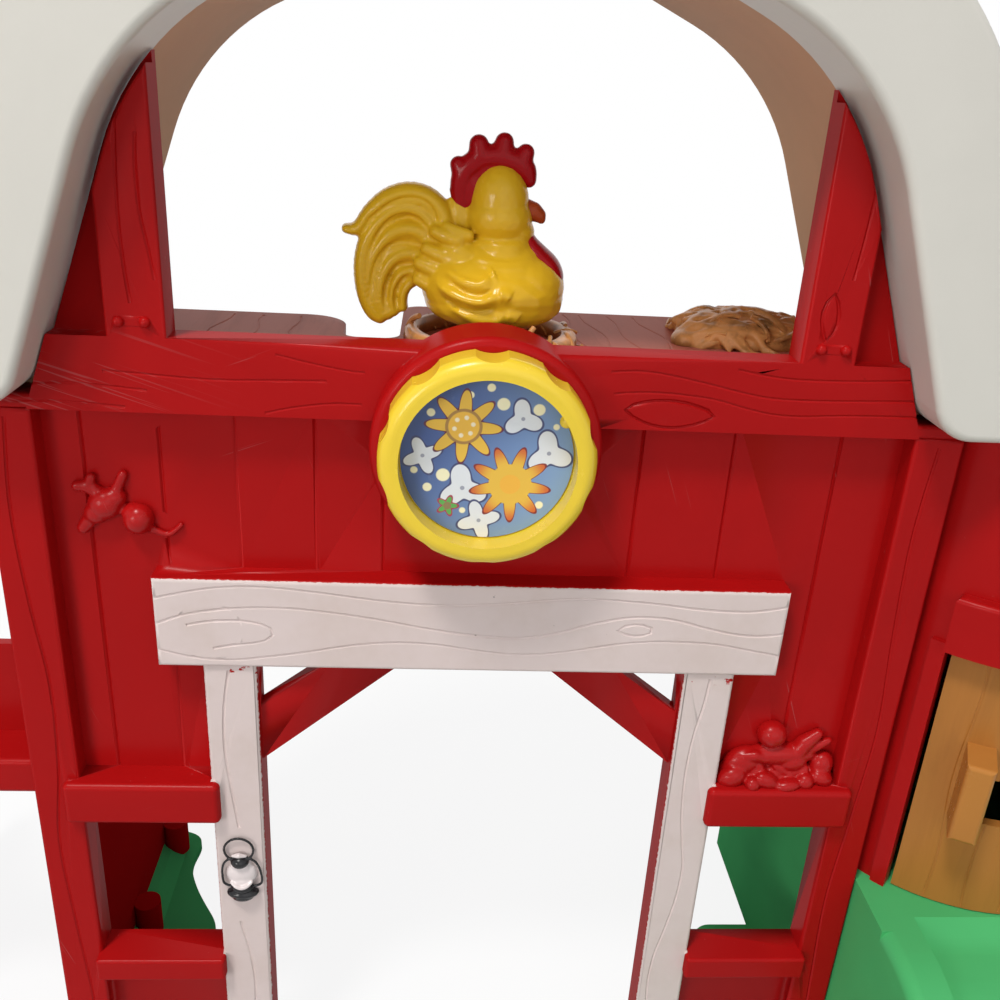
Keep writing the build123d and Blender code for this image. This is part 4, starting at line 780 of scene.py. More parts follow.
# ---------------------------------------------------------------- rooster
def rooster_strokes():
    """Strokes for sculpt(): lines between the tail's feathers, and the ridges of the folded wings."""
    tail, body = (0.0, 4.6), (4.0, 30.0)  # reach in Y from the rooster's middle
    grooves = [
        (((-29.6, 252.6), (-27.9, 254.8), (-25.4, 256.9), (-23.0, 258.7), (-20.2, 259.8),
          (-17.8, 260.0), (-16.0, 259.6), (-14.3, 258.4), (-13.2, 256.5), (-12.6, 254.6)),
         0.6, -0.6, tail),
        (((-27.2, 248.8), (-25.9, 251.6), (-24.4, 253.7), (-22.6, 255.2), (-20.9, 255.8),
          (-18.8, 255.8), (-17.0, 255.2), (-15.2, 253.8)), 0.6, -0.6, tail),
        (((-27.7, 236.6), (-27.6, 239.3), (-27.3, 242.2), (-26.4, 245.1), (-25.0, 247.3),
          (-23.2, 248.9), (-21.1, 249.8), (-18.7, 249.9), (-16.4, 249.3)), 0.6, -0.6, tail),
        (((-24.4, 233.6), (-24.3, 237.6), (-23.9, 239.8), (-23.0, 242.2), (-21.8, 243.9),
          (-20.3, 244.7), (-18.4, 244.8)), 0.6, -0.6, tail),
        (((-21.7, 234.2), (-21.9, 237.7), (-21.3, 239.6), (-20.3, 241.2), (-18.9, 242.3)),
         0.5, -0.5, tail),
        (((-10.0, 260.2), (-9.0, 257.0), (-7.8, 253.9), (-6.3, 251.6)), 0.5, -0.5, (0.0, 4.0)),
    ]
    ridges = [
        (((-10.6, 245.3), (-7.5, 243.7), (-4.0, 242.9), (-2.0, 243.1), (0.2, 244.6)), 1.0, 0.95, body),
        (((-12.2, 242.0), (-8.8, 240.5), (-5.6, 239.5), (-1.8, 239.2), (1.6, 240.8)), 1.0, 1.05, body),
        (((-8.4, 237.4), (-5.1, 235.8), (-1.9, 234.6), (0.9, 234.7), (3.6, 236.3)), 1.0, 0.95, body),
        (((-9.6, 243.3), (-5.7, 241.2), (-2.2, 240.9), (0.8, 242.4)), 0.5, -0.55, body),
        (((-10.6, 239.2), (-7.3, 237.5), (-3.8, 236.9), (1.6, 238.1)), 0.5, -0.55, body),
        (((-6.4, 233.7), (-2.8, 232.6), (1.2, 232.9), (4.2, 234.4)), 0.6, -0.4, body),
        (((0.2, 244.9), (0.9, 245.3)), 1.2, 0.9, body),
        (((1.9, 241.0), (3.4, 240.9), (4.6, 240.2)), 1.3, 0.8, body),
        (((3.8, 236.4), (5.4, 236.0), (6.4, 235.2)), 1.2, 0.8, body),
        (((-3.6, 250.8), (0.4, 249.2), (4.8, 248.8), (8.4, 250.0), (10.4, 251.8)),
         1.3, -0.6, (0.0, 30.0)),
    ]
    return grooves + ridges


def rooster_part(name, balls, voxel, material, slot, node):
    """A smaller part of the rooster, which replaces one CAD node."""
    mesh = smoothed(lumps(name, balls, voxel, 4), figure_crease)
    ride_on(plain_object(name, mesh, material), "rooster", slot, node)


class BARN_OT_rooster(bpy.types.Operator):
    """Sitting rooster with a plumed tail, folded wings, comb, beak and wattle"""
    bl_idname = "barn.rooster"
    bl_label = "Rooster"

    def execute(self, context):
        voxel = sizes().sculpt_voxel
        yellow = moulded("yellow_rooster", tint("yellow"), 0.2, 0.03, 0.3, None, 0.24)
        y = rooster_y
        body = [
            ((1.4, y, 239.4), (17.2, 15.4, 9.4), 6.0), ((1.6, y, 236.6), (16.8, 15.0, 6.4), 0.0),
            ((6.6, y, 240.4), (12.0, 12.4, 9.4), 0.0), ((-3.4, y, 240.2), (12.6, 13.4, 9.4), 0.0),
            ((-5.6, y, 245.8), (9.0, 8.6, 6.4), 24.0),
            ((1.9, y, 259.6), (6.9, 6.9, 9.1), 0.0), ((2.0, y, 256.2), (7.9, 7.8, 6.6), 0.0),
            ((5.4, y, 253.6), (5.2, 5.6, 4.0), 12.0),
        ]
        # the neck widens into the breast
        for step in range(9):
            share = step / 8
            wide = 7.3 + 9.5 * share ** 0.85
            body.append(((2.6 - 1.2 * share, y, 250.6 - 10.6 * share), (wide, wide * 0.92, 4.2), 0.0))
        # tail: a hooked plume over a fan of feathers that bend round to its foot
        feathers = (
            ((-33.6, 252.2, 1.2), (-30.9, 252.4, 1.7), (-27.9, 256.0, 2.2), (-24.0, 259.2, 2.6),
             (-19.6, 260.6, 2.8), (-15.4, 260.0, 2.8), (-12.2, 257.4, 2.8), (-10.4, 253.6, 2.8)),
            ((-12.6, 252.4, 2.4), (-14.8, 255.3, 2.1), (-18.0, 257.4, 2.1), (-21.0, 257.3, 2.1),
             (-24.0, 255.7, 2.1), (-26.8, 252.8, 2.1), (-28.8, 249.4, 2.2), (-29.8, 245.0, 2.2),
             (-29.7, 240.2, 2.2), (-28.8, 236.0, 2.1), (-27.2, 232.9, 2.0), (-25.6, 231.7, 1.7)),
            ((-13.6, 250.4, 2.6), (-17.2, 252.5, 2.3), (-20.6, 252.6, 2.3), (-23.4, 251.3, 2.3),
             (-25.6, 248.9, 2.2), (-27.0, 245.8, 2.2), (-27.6, 242.0, 2.1), (-27.4, 238.0, 2.0),
             (-26.4, 234.6, 1.9), (-25.0, 232.4, 1.7)),
            ((-14.6, 247.0, 2.5), (-18.8, 247.3, 2.1), (-21.4, 246.5, 2.0), (-23.6, 244.5, 1.9),
             (-25.0, 241.6, 1.8), (-25.5, 238.2, 1.8), (-25.0, 234.8, 1.8), (-23.8, 232.6, 1.6)),
            ((-14.8, 243.4, 2.4), (-18.4, 243.4, 1.8), (-20.9, 242.0, 1.6), (-22.4, 239.4, 1.5),
             (-22.8, 236.4, 1.5), (-22.4, 233.4, 1.5)),
            ((-17.4, 241.2, 1.7), (-19.2, 239.6, 1.4), (-20.2, 237.2, 1.3), (-20.2, 234.4, 1.3)),
        )
        for feather in feathers:
            line = chain(curved([(x, y, z, r) for x, z, r in feather], 3), 0.6)
            body += [(centre, (radii[0], 2.2 + radii[0] * 0.6, radii[2]), 0.0)
                     for centre, radii, _ in line]
        body += [((-8.2, y, 254.6), (4.4, 2.5, 6.2), 0.0), ((-10.4, y, 250.6), (5.0, 3.6, 5.0), 0.0),
                 ((-20.5, y, 248.0), (9.0, 2.4, 8.5), 0.0)]
        # short feathers over the root of the tail, on both sides
        for x, z, r in ((-12.8, 252.9, 1.5), (-10.2, 254.2, 1.2), (-14.6, 248.8, 1.7),
                        (-16.2, 245.5, 1.7), (-16.4, 241.8, 1.7)):
            for side in (-1, 1):
                body += chain(((x, y + side * 4.0, z, r), (x + 2.2, y + side * 4.8, z - 0.8, r * 1.15),
                               (x + 5.0, y + side * 5.4, z - 1.6, r * 1.2)), 0.5)
        mesh = lumps("rooster_feathers", body, voxel, 5)
        sculpt(mesh, rooster_strokes(), y)
        rooster = plain_object("rooster_feathers", smoothed(mesh, figure_crease), yellow)
        ride_on(rooster, "rooster", "yellow_plastic", "rooster_body")

        red = moulded("comb_red_gloss", tint("comb"), 0.2, 0.04, 0.3, None, 0.12)
        comb = chain(curved(((-6.6, y, 257.8, 1.7), (-7.5, y, 261.4, 2.1), (-7.2, y, 264.6, 2.5),
                             (-5.6, y, 267.3, 2.7), (-3.0, y, 269.0, 2.8), (-0.2, y, 269.7, 2.9),
                             (2.8, y, 269.5, 2.9), (5.4, y, 268.7, 2.8), (7.4, y, 267.2, 2.6),
                             (8.4, y, 265.0, 1.8)), 4), 0.35)
        comb += [((1.4, y, 266.2), (7.6, 2.4, 4.4), 0.0), ((-4.6, y, 262.6), (3.0, 2.1, 5.4), 0.0)]
        for x, z, r in ((-8.0, 267.6, 2.0), (-3.5, 272.2, 2.3), (2.3, 273.0, 2.2), (7.3, 270.9, 2.1),
                        (-8.6, 262.0, 1.3), (-7.8, 258.9, 1.2)):
            comb += chain(((x, y, z, r), (x * 0.86, y, z - 2.4, r + 0.6)), 0.35)
        rooster_part("rooster_crown", comb, voxel * 0.85, red, "comb_red", "rooster_comb")

        wattle = chain(curved(((8.8, y, 252.6, 1.4), (9.9, y, 250.4, 2.0), (12.0, y, 248.0, 2.5),
                               (14.4, y, 245.6, 2.7), (15.9, y, 243.2, 2.3),
                               (16.3, y, 241.4, 1.4)), 4), 0.35)
        wattle = [(centre, (radii[0], radii[0] * 2.1, radii[2]), 0.0) for centre, radii, _ in wattle]
        rooster_part("rooster_chin", wattle, voxel * 0.85, red, "comb_red", "rooster_wattle")

        orange = moulded("beak_orange_gloss", tint("beak"), 0.24, 0.06, 0.3)
        beak = chain(((7.6, y, 258.4, 2.7), (9.8, y, 258.0, 2.3), (11.3, y, 257.2, 1.7),
                      (11.9, y, 256.3, 1.1)), 0.3)
        rooster_part("rooster_bill", beak, voxel * 0.8, orange, "beak_orange", "rooster_beak")
        return {"FINISHED"}


# ---------------------------------------------------------------- loft
def straw_tree():
    """Moulded straws scattered over a surface, joined to it."""
    tree, source, end, add = open_tree(
        "scattered_straw", ("Count", "Int", 60), ("Length", "Float", 0.014),
        ("Thickness", "Float", 0.0006), ("Seed", "Int", 3), ("Material", "Material", None))
    area = add("GeometryNodeInputMeshFaceArea")
    total = add("GeometryNodeAttributeStatistic", {"domain": "FACE"},
                Geometry=source.outputs["Geometry"], Attribute=area.outputs[0])
    density = add("ShaderNodeMath", {"operation": "DIVIDE"}, i0=source.outputs["Count"],
                  i1=total.outputs["Sum"])
    spread = add("GeometryNodeDistributePointsOnFaces", {"distribute_method": "RANDOM"},
                 Mesh=source.outputs["Geometry"], Density=density.outputs[0],
                 Seed=source.outputs["Seed"])
    arc = add("GeometryNodeCurveQuadraticBezier", Resolution=7, Start=(-0.5, 0.0, -0.16),
              Middle=(0.0, 0.24, 0.13), End=(0.5, 0.0, -0.16))
    long = add("ShaderNodeVectorMath", {"operation": "SCALE"}, i0=(1.0, 1.0, 1.0))
    tree.links.new(source.outputs["Length"], long.inputs["Scale"])
    sized = add("GeometryNodeTransform", Geometry=arc.outputs[0], Scale=long.outputs[0])
    ring = add("GeometryNodeCurvePrimitiveCircle", Resolution=6, Radius=source.outputs["Thickness"])
    tube = add("GeometryNodeCurveToMesh", Curve=sized.outputs[0], Profile_Curve=ring.outputs[0],
               Fill_Caps=True)
    spin = add("FunctionNodeRandomValue", {"data_type": "FLOAT"}, i2=-1.3, i3=1.3, Seed=5)
    yaw = add("ShaderNodeCombineXYZ", Z=spin.outputs[1])
    turned = add("FunctionNodeRotateEuler", {"rotation_type": "EULER", "space": "LOCAL"},
                 Rotation=spread.outputs["Rotation"], Rotate_By=yaw.outputs[0])
    swell = add("FunctionNodeRandomValue", {"data_type": "FLOAT"}, i2=0.6, i3=1.25, Seed=8)
    placed = add("GeometryNodeInstanceOnPoints", Points=spread.outputs["Points"],
                 Instance=tube.outputs[0], Rotation=turned.outputs[0], Scale=swell.outputs[1])
    both = add("GeometryNodeJoinGeometry")
    tree.links.new(placed.outputs[0], both.inputs[0])
    tree.links.new(source.outputs["Geometry"], both.inputs[0])
    real = add("GeometryNodeRealizeInstances", Geometry=both.outputs[0])
    paint = add("GeometryNodeSetMaterial", Geometry=real.outputs[0],
                Material=source.outputs["Material"])
    tree.links.new(paint.outputs[0], end.inputs[0])
    return tree


class BARN_OT_loft(bpy.types.Operator):
    """Grained loft floor, the straw round the rooster and the hay heap"""
    bl_idname = "barn.loft"
    bl_label = "Loft"

    def execute(self, context):
        brown = planked("brown_boards", tint("floor"), toned(tint("floor"), 0.62), 70.0, 0.34,
                        specular=0.02)
        lines, front, spans = [], 10.5, 7
        for x, sway, lean in ((-88.0, 1.2, 2.0), (-79.0, -1.4, -3.0), (-68.0, 1.0, 3.0),
                              (-58.0, -1.2, 2.0), (-46.0, 1.1, -2.0), (-8.0, 1.0, 2.0),
                              (26.5, 1.3, -4.0), (33.5, -1.2, -5.0), (41.0, 1.0, -6.0),
                              (49.0, -1.5, -5.0), (58.0, 1.0, 2.0), (84.0, 1.2, 2.0)):
            back = 47.0 if x < -30 else 62.0
            places = [at(x + sway * math.sin(step * 1.25) + lean * step / spans,
                         front + (back - front) * step / spans, floor_top + 0.22)
                      for step in range(spans + 1)]
            lines.append((places, False))
        boards = carve(welded_copy("loft_floor"), tubes(lines, 0.4, brown, 4.0))
        dressed = plain_object("loft_boards", faired(boards), brown)
        ride_on(dressed, "barn", "brown_plastic", "loft_floor")

        straw = straw_look("moulded_straw", tint("straw"), toned(tint("straw"), 0.45))
        heap = [((69.5, 43.5, 226.5), (18.5, 12.6, 6.6), 0.0),
                ((63.0, 42.0, 228.0), (10.0, 9.0, 5.0), -12.0),
                ((77.0, 44.0, 227.5), (11.5, 10.0, 5.4), 10.0),
                ((58.0, 37.0, 226.6), (9.4, 7.0, 4.4), -8.0),
                ((51.8, 35.0, 227.0), (3.6, 4.2, 2.6), 0.0),
                ((70.0, 36.0, 226.8), (13.0, 7.4, 3.6), 0.0)]
        # bent locks of hay that lie over the mound
        draw, stride, mound_tall = random.Random(11), 3.2, 7.2
        for _ in range(64):
            x, y, heading = draw.uniform(50, 85), draw.uniform(30, 53), draw.uniform(-0.9, 0.9)
            bend, radius = draw.uniform(-0.5, 0.5), draw.uniform(0.8, 1.3)
            lock = []
            for part in range(5):
                rise = math.sqrt(max(0.0, 1 - ((x - 68.5) / 20.5) ** 2 - ((y - 41.5) / 14.0) ** 2))
                lock.append((x, y, floor_top + mound_tall * rise + 0.2, radius * (1 - 0.1 * part)))
                x, y = x + stride * math.cos(heading), y + stride * math.sin(heading)
                heading += bend * 0.5
            heap += chain(lock, 0.6)
        mound = plain_object("hay_mound", trimmed(lumps("hay", heap, 0.5, 2), above(floor_top)))
        apply_tree(mound, straw_tree(), Count=sizes().straw_count, Length=0.010, Thickness=0.0008,
                   Seed=4, Material=straw)
        mound = plain_object("hay_heap_strands", smoothed(baked(mound, "hay_heap_strands"),
                                                         strand_crease))
        ride_on(mound, "barn", "straw_plastic", "hay_heap")

        ring = welded_copy("straw_nest")
        apply_tree(ring, straw_tree(), Count=40, Length=0.008, Thickness=0.0006, Seed=9,
                   Material=straw)
        nest = plain_object("nest_strands", smoothed(baked(ring, "nest_strands"), strand_crease))
        ride_on(nest, "barn", "straw_plastic", "straw_nest")
        return {"FINISHED"}


# ---------------------------------------------------------------- small reliefs and lantern
class BARN_OT_reliefs(bpy.types.Operator):
    """Climbing mouse on the planks, and the bird among fruit over the right ledge"""
    bl_idname = "barn.reliefs"
    bl_label = "Reliefs"

    def execute(self, context):
        red = moulded("red_relief", tint("red"), 0.24, 0.04, 0.3, None, 0.2)
        face = panel_front
        y = face - 0.6
        mouse = [
            ((-88.2, y, 189.6), (4.3, 3.5, 3.9), -24.0), ((-90.2, y, 187.6), (3.4, 3.0, 3.0), -40.0),
            ((-86.6, y, 191.2), (3.4, 2.8, 2.6), 0.0), ((-80.8, y - 0.4, 186.0), (3.6, 3.4, 3.9), 20.0),
            ((-81.6, y, 187.4), (3.2, 2.8, 2.6), 0.0),
        ]
        # each place of a line is X, how far it stands proud, Z and a radius
        for line in (((-88.6, 0.0, 191.2, 2.0), (-90.6, 0.0, 193.2, 1.6), (-92.8, 0.0, 194.0, 1.5)),
                     ((-91.6, 0.0, 193.6, 1.4), (-90.9, 0.2, 196.2, 1.2)),
                     ((-93.2, 0.0, 194.0, 1.4), (-94.2, 0.3, 194.0, 1.3)),
                     ((-86.2, 0.0, 191.4, 1.7), (-84.9, 0.0, 194.2, 1.3), (-83.6, 0.0, 197.0, 1.2)),
                     ((-90.6, 0.0, 187.6, 2.4), (-92.4, 0.0, 185.2, 1.9), (-93.8, 0.2, 183.4, 1.6))):
            mouse += chain([(x, y - proud, z, r) for x, proud, z, r in line], 0.4)
        mouse += chain(curved(((-78.8, y, 183.8, 1.1), (-76.4, y, 182.6, 0.8), (-74.4, y, 182.0, 0.75),
                               (-72.8, y, 182.9, 0.75), (-71.2, y, 184.5, 0.7)), 4), 0.5)
        harvest = [
            ((81.7, y, 128.2), (3.5, 3.2, 3.3), 0.0), ((84.6, y, 121.8), (9.0, 2.6, 2.8), 0.0),
            ((88.0, y, 119.9), (3.9, 2.9, 3.0), 0.0), ((75.2, y, 119.0), (5.0, 2.8, 4.0), -34.0),
            ((72.8, y, 116.2), (3.2, 2.6, 3.0), 0.0), ((78.6, y, 116.4), (3.6, 2.8, 3.2), 20.0),
            ((84.4, y, 116.0), (3.8, 2.6, 2.8), 0.0), ((90.2, y, 115.8), (3.8, 2.4, 2.6), 0.0),
            ((96.2, y, 118.4), (2.9, 2.6, 3.6), 10.0), ((95.4, y, 115.2), (4.0, 2.4, 2.2), 0.0),
        ]
        for line in (((88.6, 0.0, 121.6, 2.4), (90.6, 0.0, 125.2, 2.1), (93.8, 0.0, 128.4, 1.3)),
                     ((91.2, 0.0, 122.6, 1.5), (94.2, 0.0, 124.6, 1.3), (97.0, 0.0, 126.2, 0.9)),
                     ((74.6, 1.2, 121.6, 1.2), (77.6, 1.8, 122.4, 1.4), (80.6, 1.6, 121.2, 1.2)),
                     ((79.0, 1.6, 119.2, 1.0), (80.4, 2.2, 116.8, 1.1), (82.4, 1.8, 114.6, 1.0)),
                     ((83.6, 1.6, 118.8, 0.9), (87.2, 2.0, 116.6, 1.0), (91.6, 1.8, 118.2, 0.9)),
                     ((75.8, 2.0, 116.4, 0.9), (76.6, 2.4, 114.4, 0.9))):
            harvest += chain([(x, y - proud, z, r) for x, proud, z, r in line], 0.4)
        middle, spread, swell = 84.6, 1.05, 1.16
        harvest = [((middle + (x - middle) * spread, y - 1.0, z - 0.6),
                    tuple(part * swell for part in radii), turn) for (x, y, z), radii, turn in harvest]
        # a front row of fruit and leaves, out to the ledge's edge
        harvest += [
            ((71.6, y - 3.4, 115.2), (4.2, 2.8, 3.2), -30.0),
            ((77.0, y - 5.2, 114.2), (2.2, 2.2, 2.2), 0.0),
            ((81.2, y - 4.4, 114.8), (3.8, 2.4, 2.4), 28.0),
            ((86.6, y - 5.2, 114.0), (3.9, 2.3, 1.8), -10.0),
            ((91.8, y - 4.2, 114.6), (2.5, 2.5, 2.6), 0.0),
            ((96.6, y - 3.2, 115.2), (3.4, 2.6, 2.4), 24.0),
        ]
        behind = in_front(face + 0.15)
        for name, balls, node, cuts in (
                ("mouse_moulded", mouse, "mouse_relief", (behind,)),
                ("harvest_moulded", harvest, "harvest_relief", (behind, above(ledge_top)))):
            mesh = trimmed(lumps(name, balls, 0.34, 3), *cuts)
            piece = plain_object(name, smoothed(mesh, figure_crease), red)
            ride_on(piece, "barn", "red_plastic", node)
        return {"FINISHED"}


class BARN_OT_lantern(bpy.types.Operator):
    """Lantern on the left door post: pearl globe, black cap and foot, wire guard and ring"""
    bl_idname = "barn.lantern"
    bl_label = "Lantern"

    def execute(self, context):
        black = moulded("lantern_black", (0.012, 0.012, 0.014), 0.16, 0.2, 0.3, (0.3, 0.3, 0.3), 0.35)
        pearl = moulded("lantern_pearl", (0.74, 0.66, 0.65), 0.18, 0.03, 0.2, None, 0.6)
        wire = 0.36
        ring = [(-61.0 + 3.9 * math.cos(turn), -0.9, 90.9 + 3.9 * math.sin(turn), wire)
                for turn in np.linspace(0.0, 2 * math.pi, 25)]
        left = curved(((-62.4, -1.2, 88.5, wire), (-64.2, -1.1, 87.6, wire), (-65.3, -1.0, 86.0, wire),
                       (-65.7, -1.0, 83.9, wire), (-65.7, -1.0, 81.6, wire), (-65.3, -1.0, 79.4, wire),
                       (-63.4, -1.0, 78.4, wire)), 4)
        right = curved(((-59.0, -1.2, 88.5, wire), (-57.0, -1.1, 87.4, wire), (-55.9, -1.0, 85.4, wire),
                        (-55.3, -1.0, 82.9, wire), (-55.1, -1.0, 80.7, wire), (-55.6, -1.0, 79.2, wire),
                        (-57.4, -1.0, 78.4, wire)), 4)
        metal = chain(ring) + chain(left) + chain(right)
        metal += [
            ((-60.8, -1.0, 87.2), (2.5, 2.3, 1.9), 0.0), ((-60.5, -0.7, 76.2), (4.4, 2.5, 1.5), 0.0),
            ((-60.5, -0.7, 75.4), (3.4, 2.4, 1.9), 0.0), ((-60.5, -0.8, 78.1), (3.0, 2.3, 1.7), 0.0),
        ]
        globe_and_highlights = [((-60.6, 0.0, 82.4), (4.3, 2.2, 4.2), 0.0), ((-60.7, 0.0, 85.0), (3.2, 1.9, 2.8), 0.0),
                 ((-60.5, -0.2, 80.6), (3.3, 2.2, 1.4), 0.0)]
        # two thin pearl arcs, in front of the foot and over the top of the black cap, are painted
        # highlights on the black metal
        globe_and_highlights += chain(curved(((-63.2, -1.8, 80.5, 0.5), (-62.0, -2.6, 79.8, 0.55),
                               (-60.5, -2.9, 79.4, 0.55), (-59.0, -2.6, 79.8, 0.55),
                               (-57.9, -1.8, 80.5, 0.5)), 4))
        globe_and_highlights += chain(((-62.7, -1.0, 88.9, 0.4), (-61.0, -1.5, 89.5, 0.75), (-59.2, -1.0, 88.9, 0.4)))
        for name, balls, material, slot, node in (
                ("lantern_guard", metal, black, "black_plastic", "lantern_frame"),
                ("lantern_glass", globe_and_highlights, pearl, "pearl_white", "lantern_globe")):
            mesh = trimmed(lumps(name, balls, 0.2, 2), in_front(0.15))
            piece = plain_object(name, smoothed(mesh, figure_crease), material)
            ride_on(piece, "barn", slot, node)
        return {"FINISHED"}


class BARN_OT_spring(bpy.types.Operator):
    """Coiled return spring under the rooster"""
    bl_idname = "barn.spring"
    bl_label = "Return spring"

    def execute(self, context):
        low, high = (edge.z * 1000 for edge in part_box("rooster_spring"))
        turns, around, wire, coil = 6, 14, 0.42, 6.9
        wire_steel = steel("spring_steel", (0.55, 0.55, 0.56), 0.25)
        places = []
        for step in range(turns * around + 1):
            turn = 2 * math.pi * step / around
            rise = low + wire + (high - low - 2 * wire) * step / (turns * around)
            places.append(at(rooster_x + coil * math.cos(turn), rooster_y + coil * math.sin(turn),
                             rise))
        spring = tubes([(places, False)], wire, wire_steel, 1.5)
        spring.name = "return_spring"
        smoothed(spring.data, strand_crease)
        ride_on(spring, "barn", "screw_steel", "rooster_spring")
        tuple(at(rooster_x, rooster_y, low))
        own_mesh(spring)
        return {"FINISHED"}


class BARN_OT_plain_parts(bpy.types.Operator):
    """Finishes of the parts whose CAD shape is kept"""
    bl_idname = "barn.plain_parts"
    bl_label = "Kept parts"

    def execute(self, context):
        red = moulded("red_gloss", tint("red"), specular=0.09)
        coat(red, "silo_shell", "stall_front", "stall_side", "sound_case", "battery_cover")
        coat(moulded("red_satin", toned(tint("red"), 0.9), 0.45, specular=0.0),
             "side_wall_left", "side_wall_right")
        cream = moulded("cream_gloss", tint("cream"), 0.36, 0.02, 0.4, (0.45, 0.40, 0.34))
        coat(cream, "roof_shell", "silo_dome")
        # the roof liner is the roof's cream plastic; its brown-pink colour is painted shade and a
        # painted reflection of the red walls
        coat(moulded("cream_inside", (0.66, 0.39, 0.225), 0.5, 0.04, 0.3, None, 0.04), "roof_liner")
        coat(moulded("green_gloss", tint("green"), 0.26, 0.05, 0.5, specular=0.0, glaze=outer_glaze),
             "hill")
        coat(moulded("green_satin", toned(tint("green"), 0.8), 0.45, 0.05, 0.5, specular=0.0),
             "base_plate")
        coat(moulded("black_dull", (0.02, 0.02, 0.022), 0.45, 0.15, 0.4),
             "rooster_plunger", "sound_chip", "rooster_switch", "speaker", "power_slider")
        coat(moulded("white_dull", (0.75, 0.75, 0.72), 0.4, 0.04, 0.3), "dial_cam")
        coat(moulded("yellow_dial", (0.84, 0.60, 0.035), 0.22, 0.03, 0.4, None, 0.4), "dial_ring")
        coat(printed("dial_print", (0.045, 0.085, 0.27), (0.22, 0.36, 0.60), (0.74, 0.78, 0.82),
                     (0.62, 0.13, 0.03), (0.80, 0.50, 0.06), (0.10, 0.40, 0.08)), "dial_label")
        coat(moulded("board_green", (0.02, 0.16, 0.07), 0.35, 0.15, 0.2), "circuit_board")
        coat(moulded("cell_sleeve", (0.06, 0.08, 0.12), 0.28, 0.1, 0.5), "battery_cells")
        coat(steel("contact_nickel", (0.72, 0.69, 0.62), 0.22), "battery_contacts")
        coat(steel("zinc_screws", (0.55, 0.55, 0.56), 0.3),
             "wall_screws", "roof_screws", "shell_screws", "dome_screws", "hill_screws", "plate_screws",
             "floor_screws", "case_screws", "cover_screw", "dial_screw", "silo_screws", "stall_screws",
             "silo_pin")
        return {"FINISHED"}


# ---------------------------------------------------------------- stage
def eye_rays(shade):
    """1 for camera, glossy and transmission rays, so that all of them see the white surroundings."""
    return (shade.node("LightPath", out="Is Camera Ray") + shade.node("LightPath", out="Is Glossy Ray")
            + shade.node("LightPath", out="Is Transmission Ray")).least(1.0)


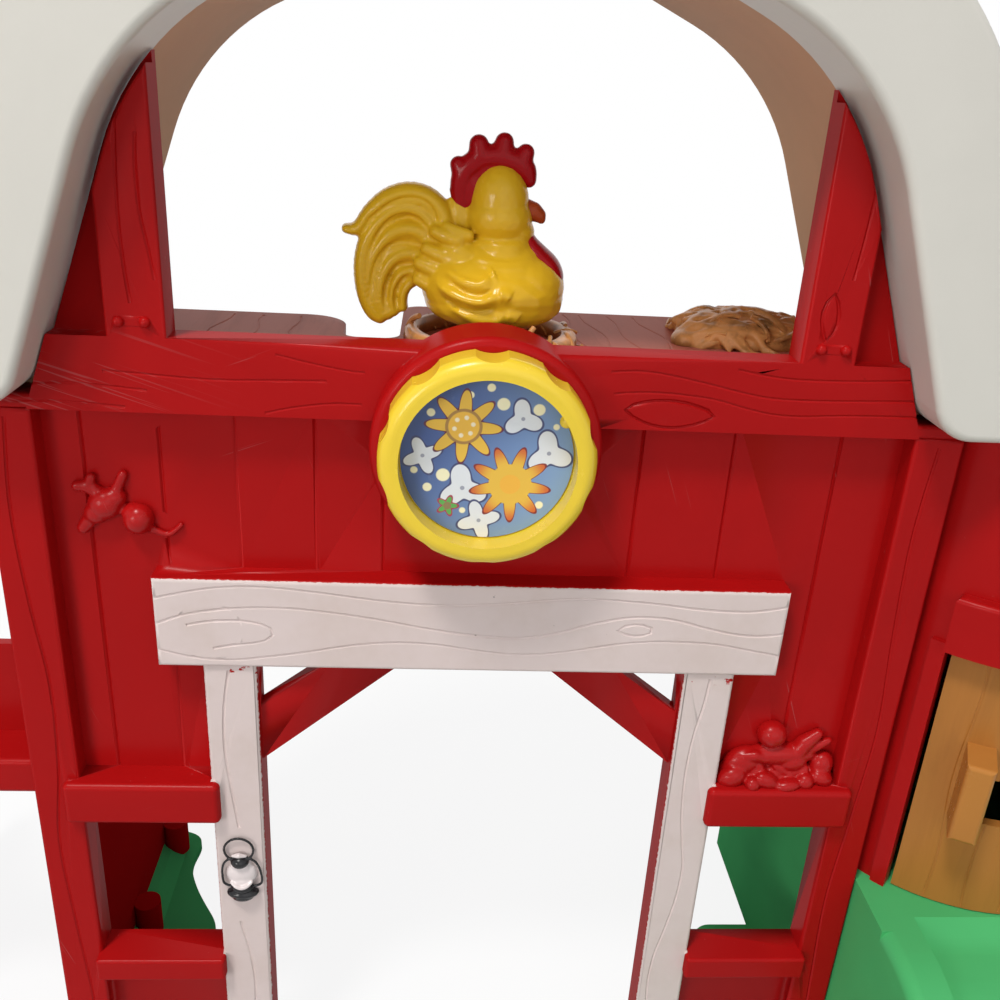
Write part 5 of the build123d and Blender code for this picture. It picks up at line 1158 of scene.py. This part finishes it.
class BARN_OT_stage(bpy.types.Operator):
    """Pale floor, white surroundings, soft lamps and the camera"""
    bl_idname = "barn.stage"
    bl_label = "Stage"

    def execute(self, context):
        scene = context.scene
        wide, sunk = 6.0, 0.0004         # metres out to its edges, and below the object
        floor_mesh = bpy.data.meshes.new("floor")
        floor_mesh.from_pydata([(-wide, -wide, -sunk), (wide, -wide, -sunk), (wide, wide, -sunk),
                                (-wide, wide, -sunk)], [], [(0, 1, 2, 3)])
        # the eye sees it near white, and wholly white further out; it bounces light as a grey
        shade = Shade("pale_floor")
        far = shade.node("VectorMath", {"operation": "LENGTH"}, {0: shade.spot}, 1).step(0.3, 0.8)
        matt = shade.node("BsdfDiffuse", None, {"Color": (0.42, 0.42, 0.42, 1)})
        pale = shade.node("BsdfDiffuse", None, {"Color": (0.9, 0.9, 0.9, 1)})
        glow = shade.node("Emission", None, {"Color": (1, 1, 1, 1)})
        seen = shade.node("MixShader", None, {0: far * 0.12 + 0.88, 1: pale, 2: glow})
        shade.end(shade.node("MixShader", None, {0: eye_rays(shade), 1: matt, 2: seen}))
        plain_object("floor", floor_mesh, shade.material)

        # the eye sees it white; as a light it is stronger in front of the barn than behind
        scene.world = bpy.data.worlds.new("white_room")
        room = Shade(owner=scene.world)
        behind = Socket(room, room.node("SeparateXYZ", None, {0: room.spot}).output.node.outputs[1])
        ends = [room.node("Background", None, {"Color": (0.94, 0.96, 1.0, 1), "Strength": strength})
                for strength in (0.52, 0.30)]
        light = room.node("MixShader", None, {0: behind.step(-0.2, 0.5), 1: ends[0], 2: ends[1]})
        white = room.node("Background", None, {"Color": (1, 1, 1, 1)})
        room.end(room.node("MixShader", None, {0: eye_rays(room), 1: light, 2: white}), "World")

        aim = at(0, 0, 200)
        for name, place, size, power, warmth in (
                ("key_lamp", at(-430, -560, 1560), 0.28, 14.6, (1.0, 0.965, 0.93)),
                ("front_fill", at(300, -1400, 700), 1.2, 2.6, (0.97, 0.98, 1.0)),
                ("window_lamp", at(-700, -980, 430), 0.34, 3.4, (1.0, 0.98, 0.95)),
                ("back_fill", at(-200, 1300, 900), 1.2, 2.4, (1.0, 1.0, 1.0))):
            lamp = bpy.data.lights.new(name, "AREA")
            lamp.shape, lamp.size, lamp.energy, lamp.color = "DISK", size, power, warmth
            holder = bpy.data.objects.new(name, lamp)
            scene.collection.objects.link(holder)
            holder.location = place
            holder.rotation_euler = (aim - place).to_track_quat("-Z", "Y").to_euler()

        lens = bpy.data.cameras.new("camera")
        lens.sensor_width, lens.lens = 36.0, 36.18
        lens.clip_start, lens.clip_end = 0.005, 50.0
        camera = bpy.data.objects.new("camera", lens)
        scene.collection.objects.link(camera)
        # the photograph's viewpoint, in metres, and its directions
        viewpoint = (-0.02524, -0.202, 0.288)
        right, up = Vector((0.997161, -0.052157, 0.054310)), Vector((-0.029328, 0.395282, 0.918091))
        back = -Vector((0.06935, 0.91708, -0.39263))
        turn = Matrix((right, up, back)).transposed()
        camera.matrix_world = Matrix.Translation(viewpoint) @ turn.to_4x4()
        scene.camera = camera
        scene.view_settings.view_transform = "Standard"
        return {"FINISHED"}


# ---------------------------------------------------------------- add-on
steps = (BARN_OT_front_wall, BARN_OT_silo_door, BARN_OT_rooster, BARN_OT_loft, BARN_OT_reliefs,
         BARN_OT_lantern, BARN_OT_spring, BARN_OT_plain_parts, BARN_OT_stage)


class BARN_PT_panel(bpy.types.Panel):
    """Lists the barn's pieces and settings"""
    bl_label = "Toy Barn"
    bl_idname = "BARN_PT_panel"
    bl_space_type = "VIEW_3D"
    bl_region_type = "UI"
    bl_category = "Toy Barn"

    def draw(self, context):
        for step in steps:
            self.layout.operator(step.bl_idname)
        for group in (context.scene.barn_colours, context.scene.barn_sizes):
            for key in group.__annotations__:
                self.layout.prop(group, key)


classes = (BarnColours, BarnSizes, *steps, BARN_PT_panel)


def register():
    for entry in classes:
        bpy.utils.register_class(entry)
    bpy.types.Scene.barn_colours = bpy.props.PointerProperty(type=BarnColours)
    bpy.types.Scene.barn_sizes = bpy.props.PointerProperty(type=BarnSizes)


def unregister():
    del bpy.types.Scene.barn_colours, bpy.types.Scene.barn_sizes
    for entry in reversed(classes):
        bpy.utils.unregister_class(entry)


def main():
    register()
    for step in steps:
        group, name = step.bl_idname.split(".")
        getattr(getattr(bpy.ops, group), name)()


if __name__ == "__main__":
    main()
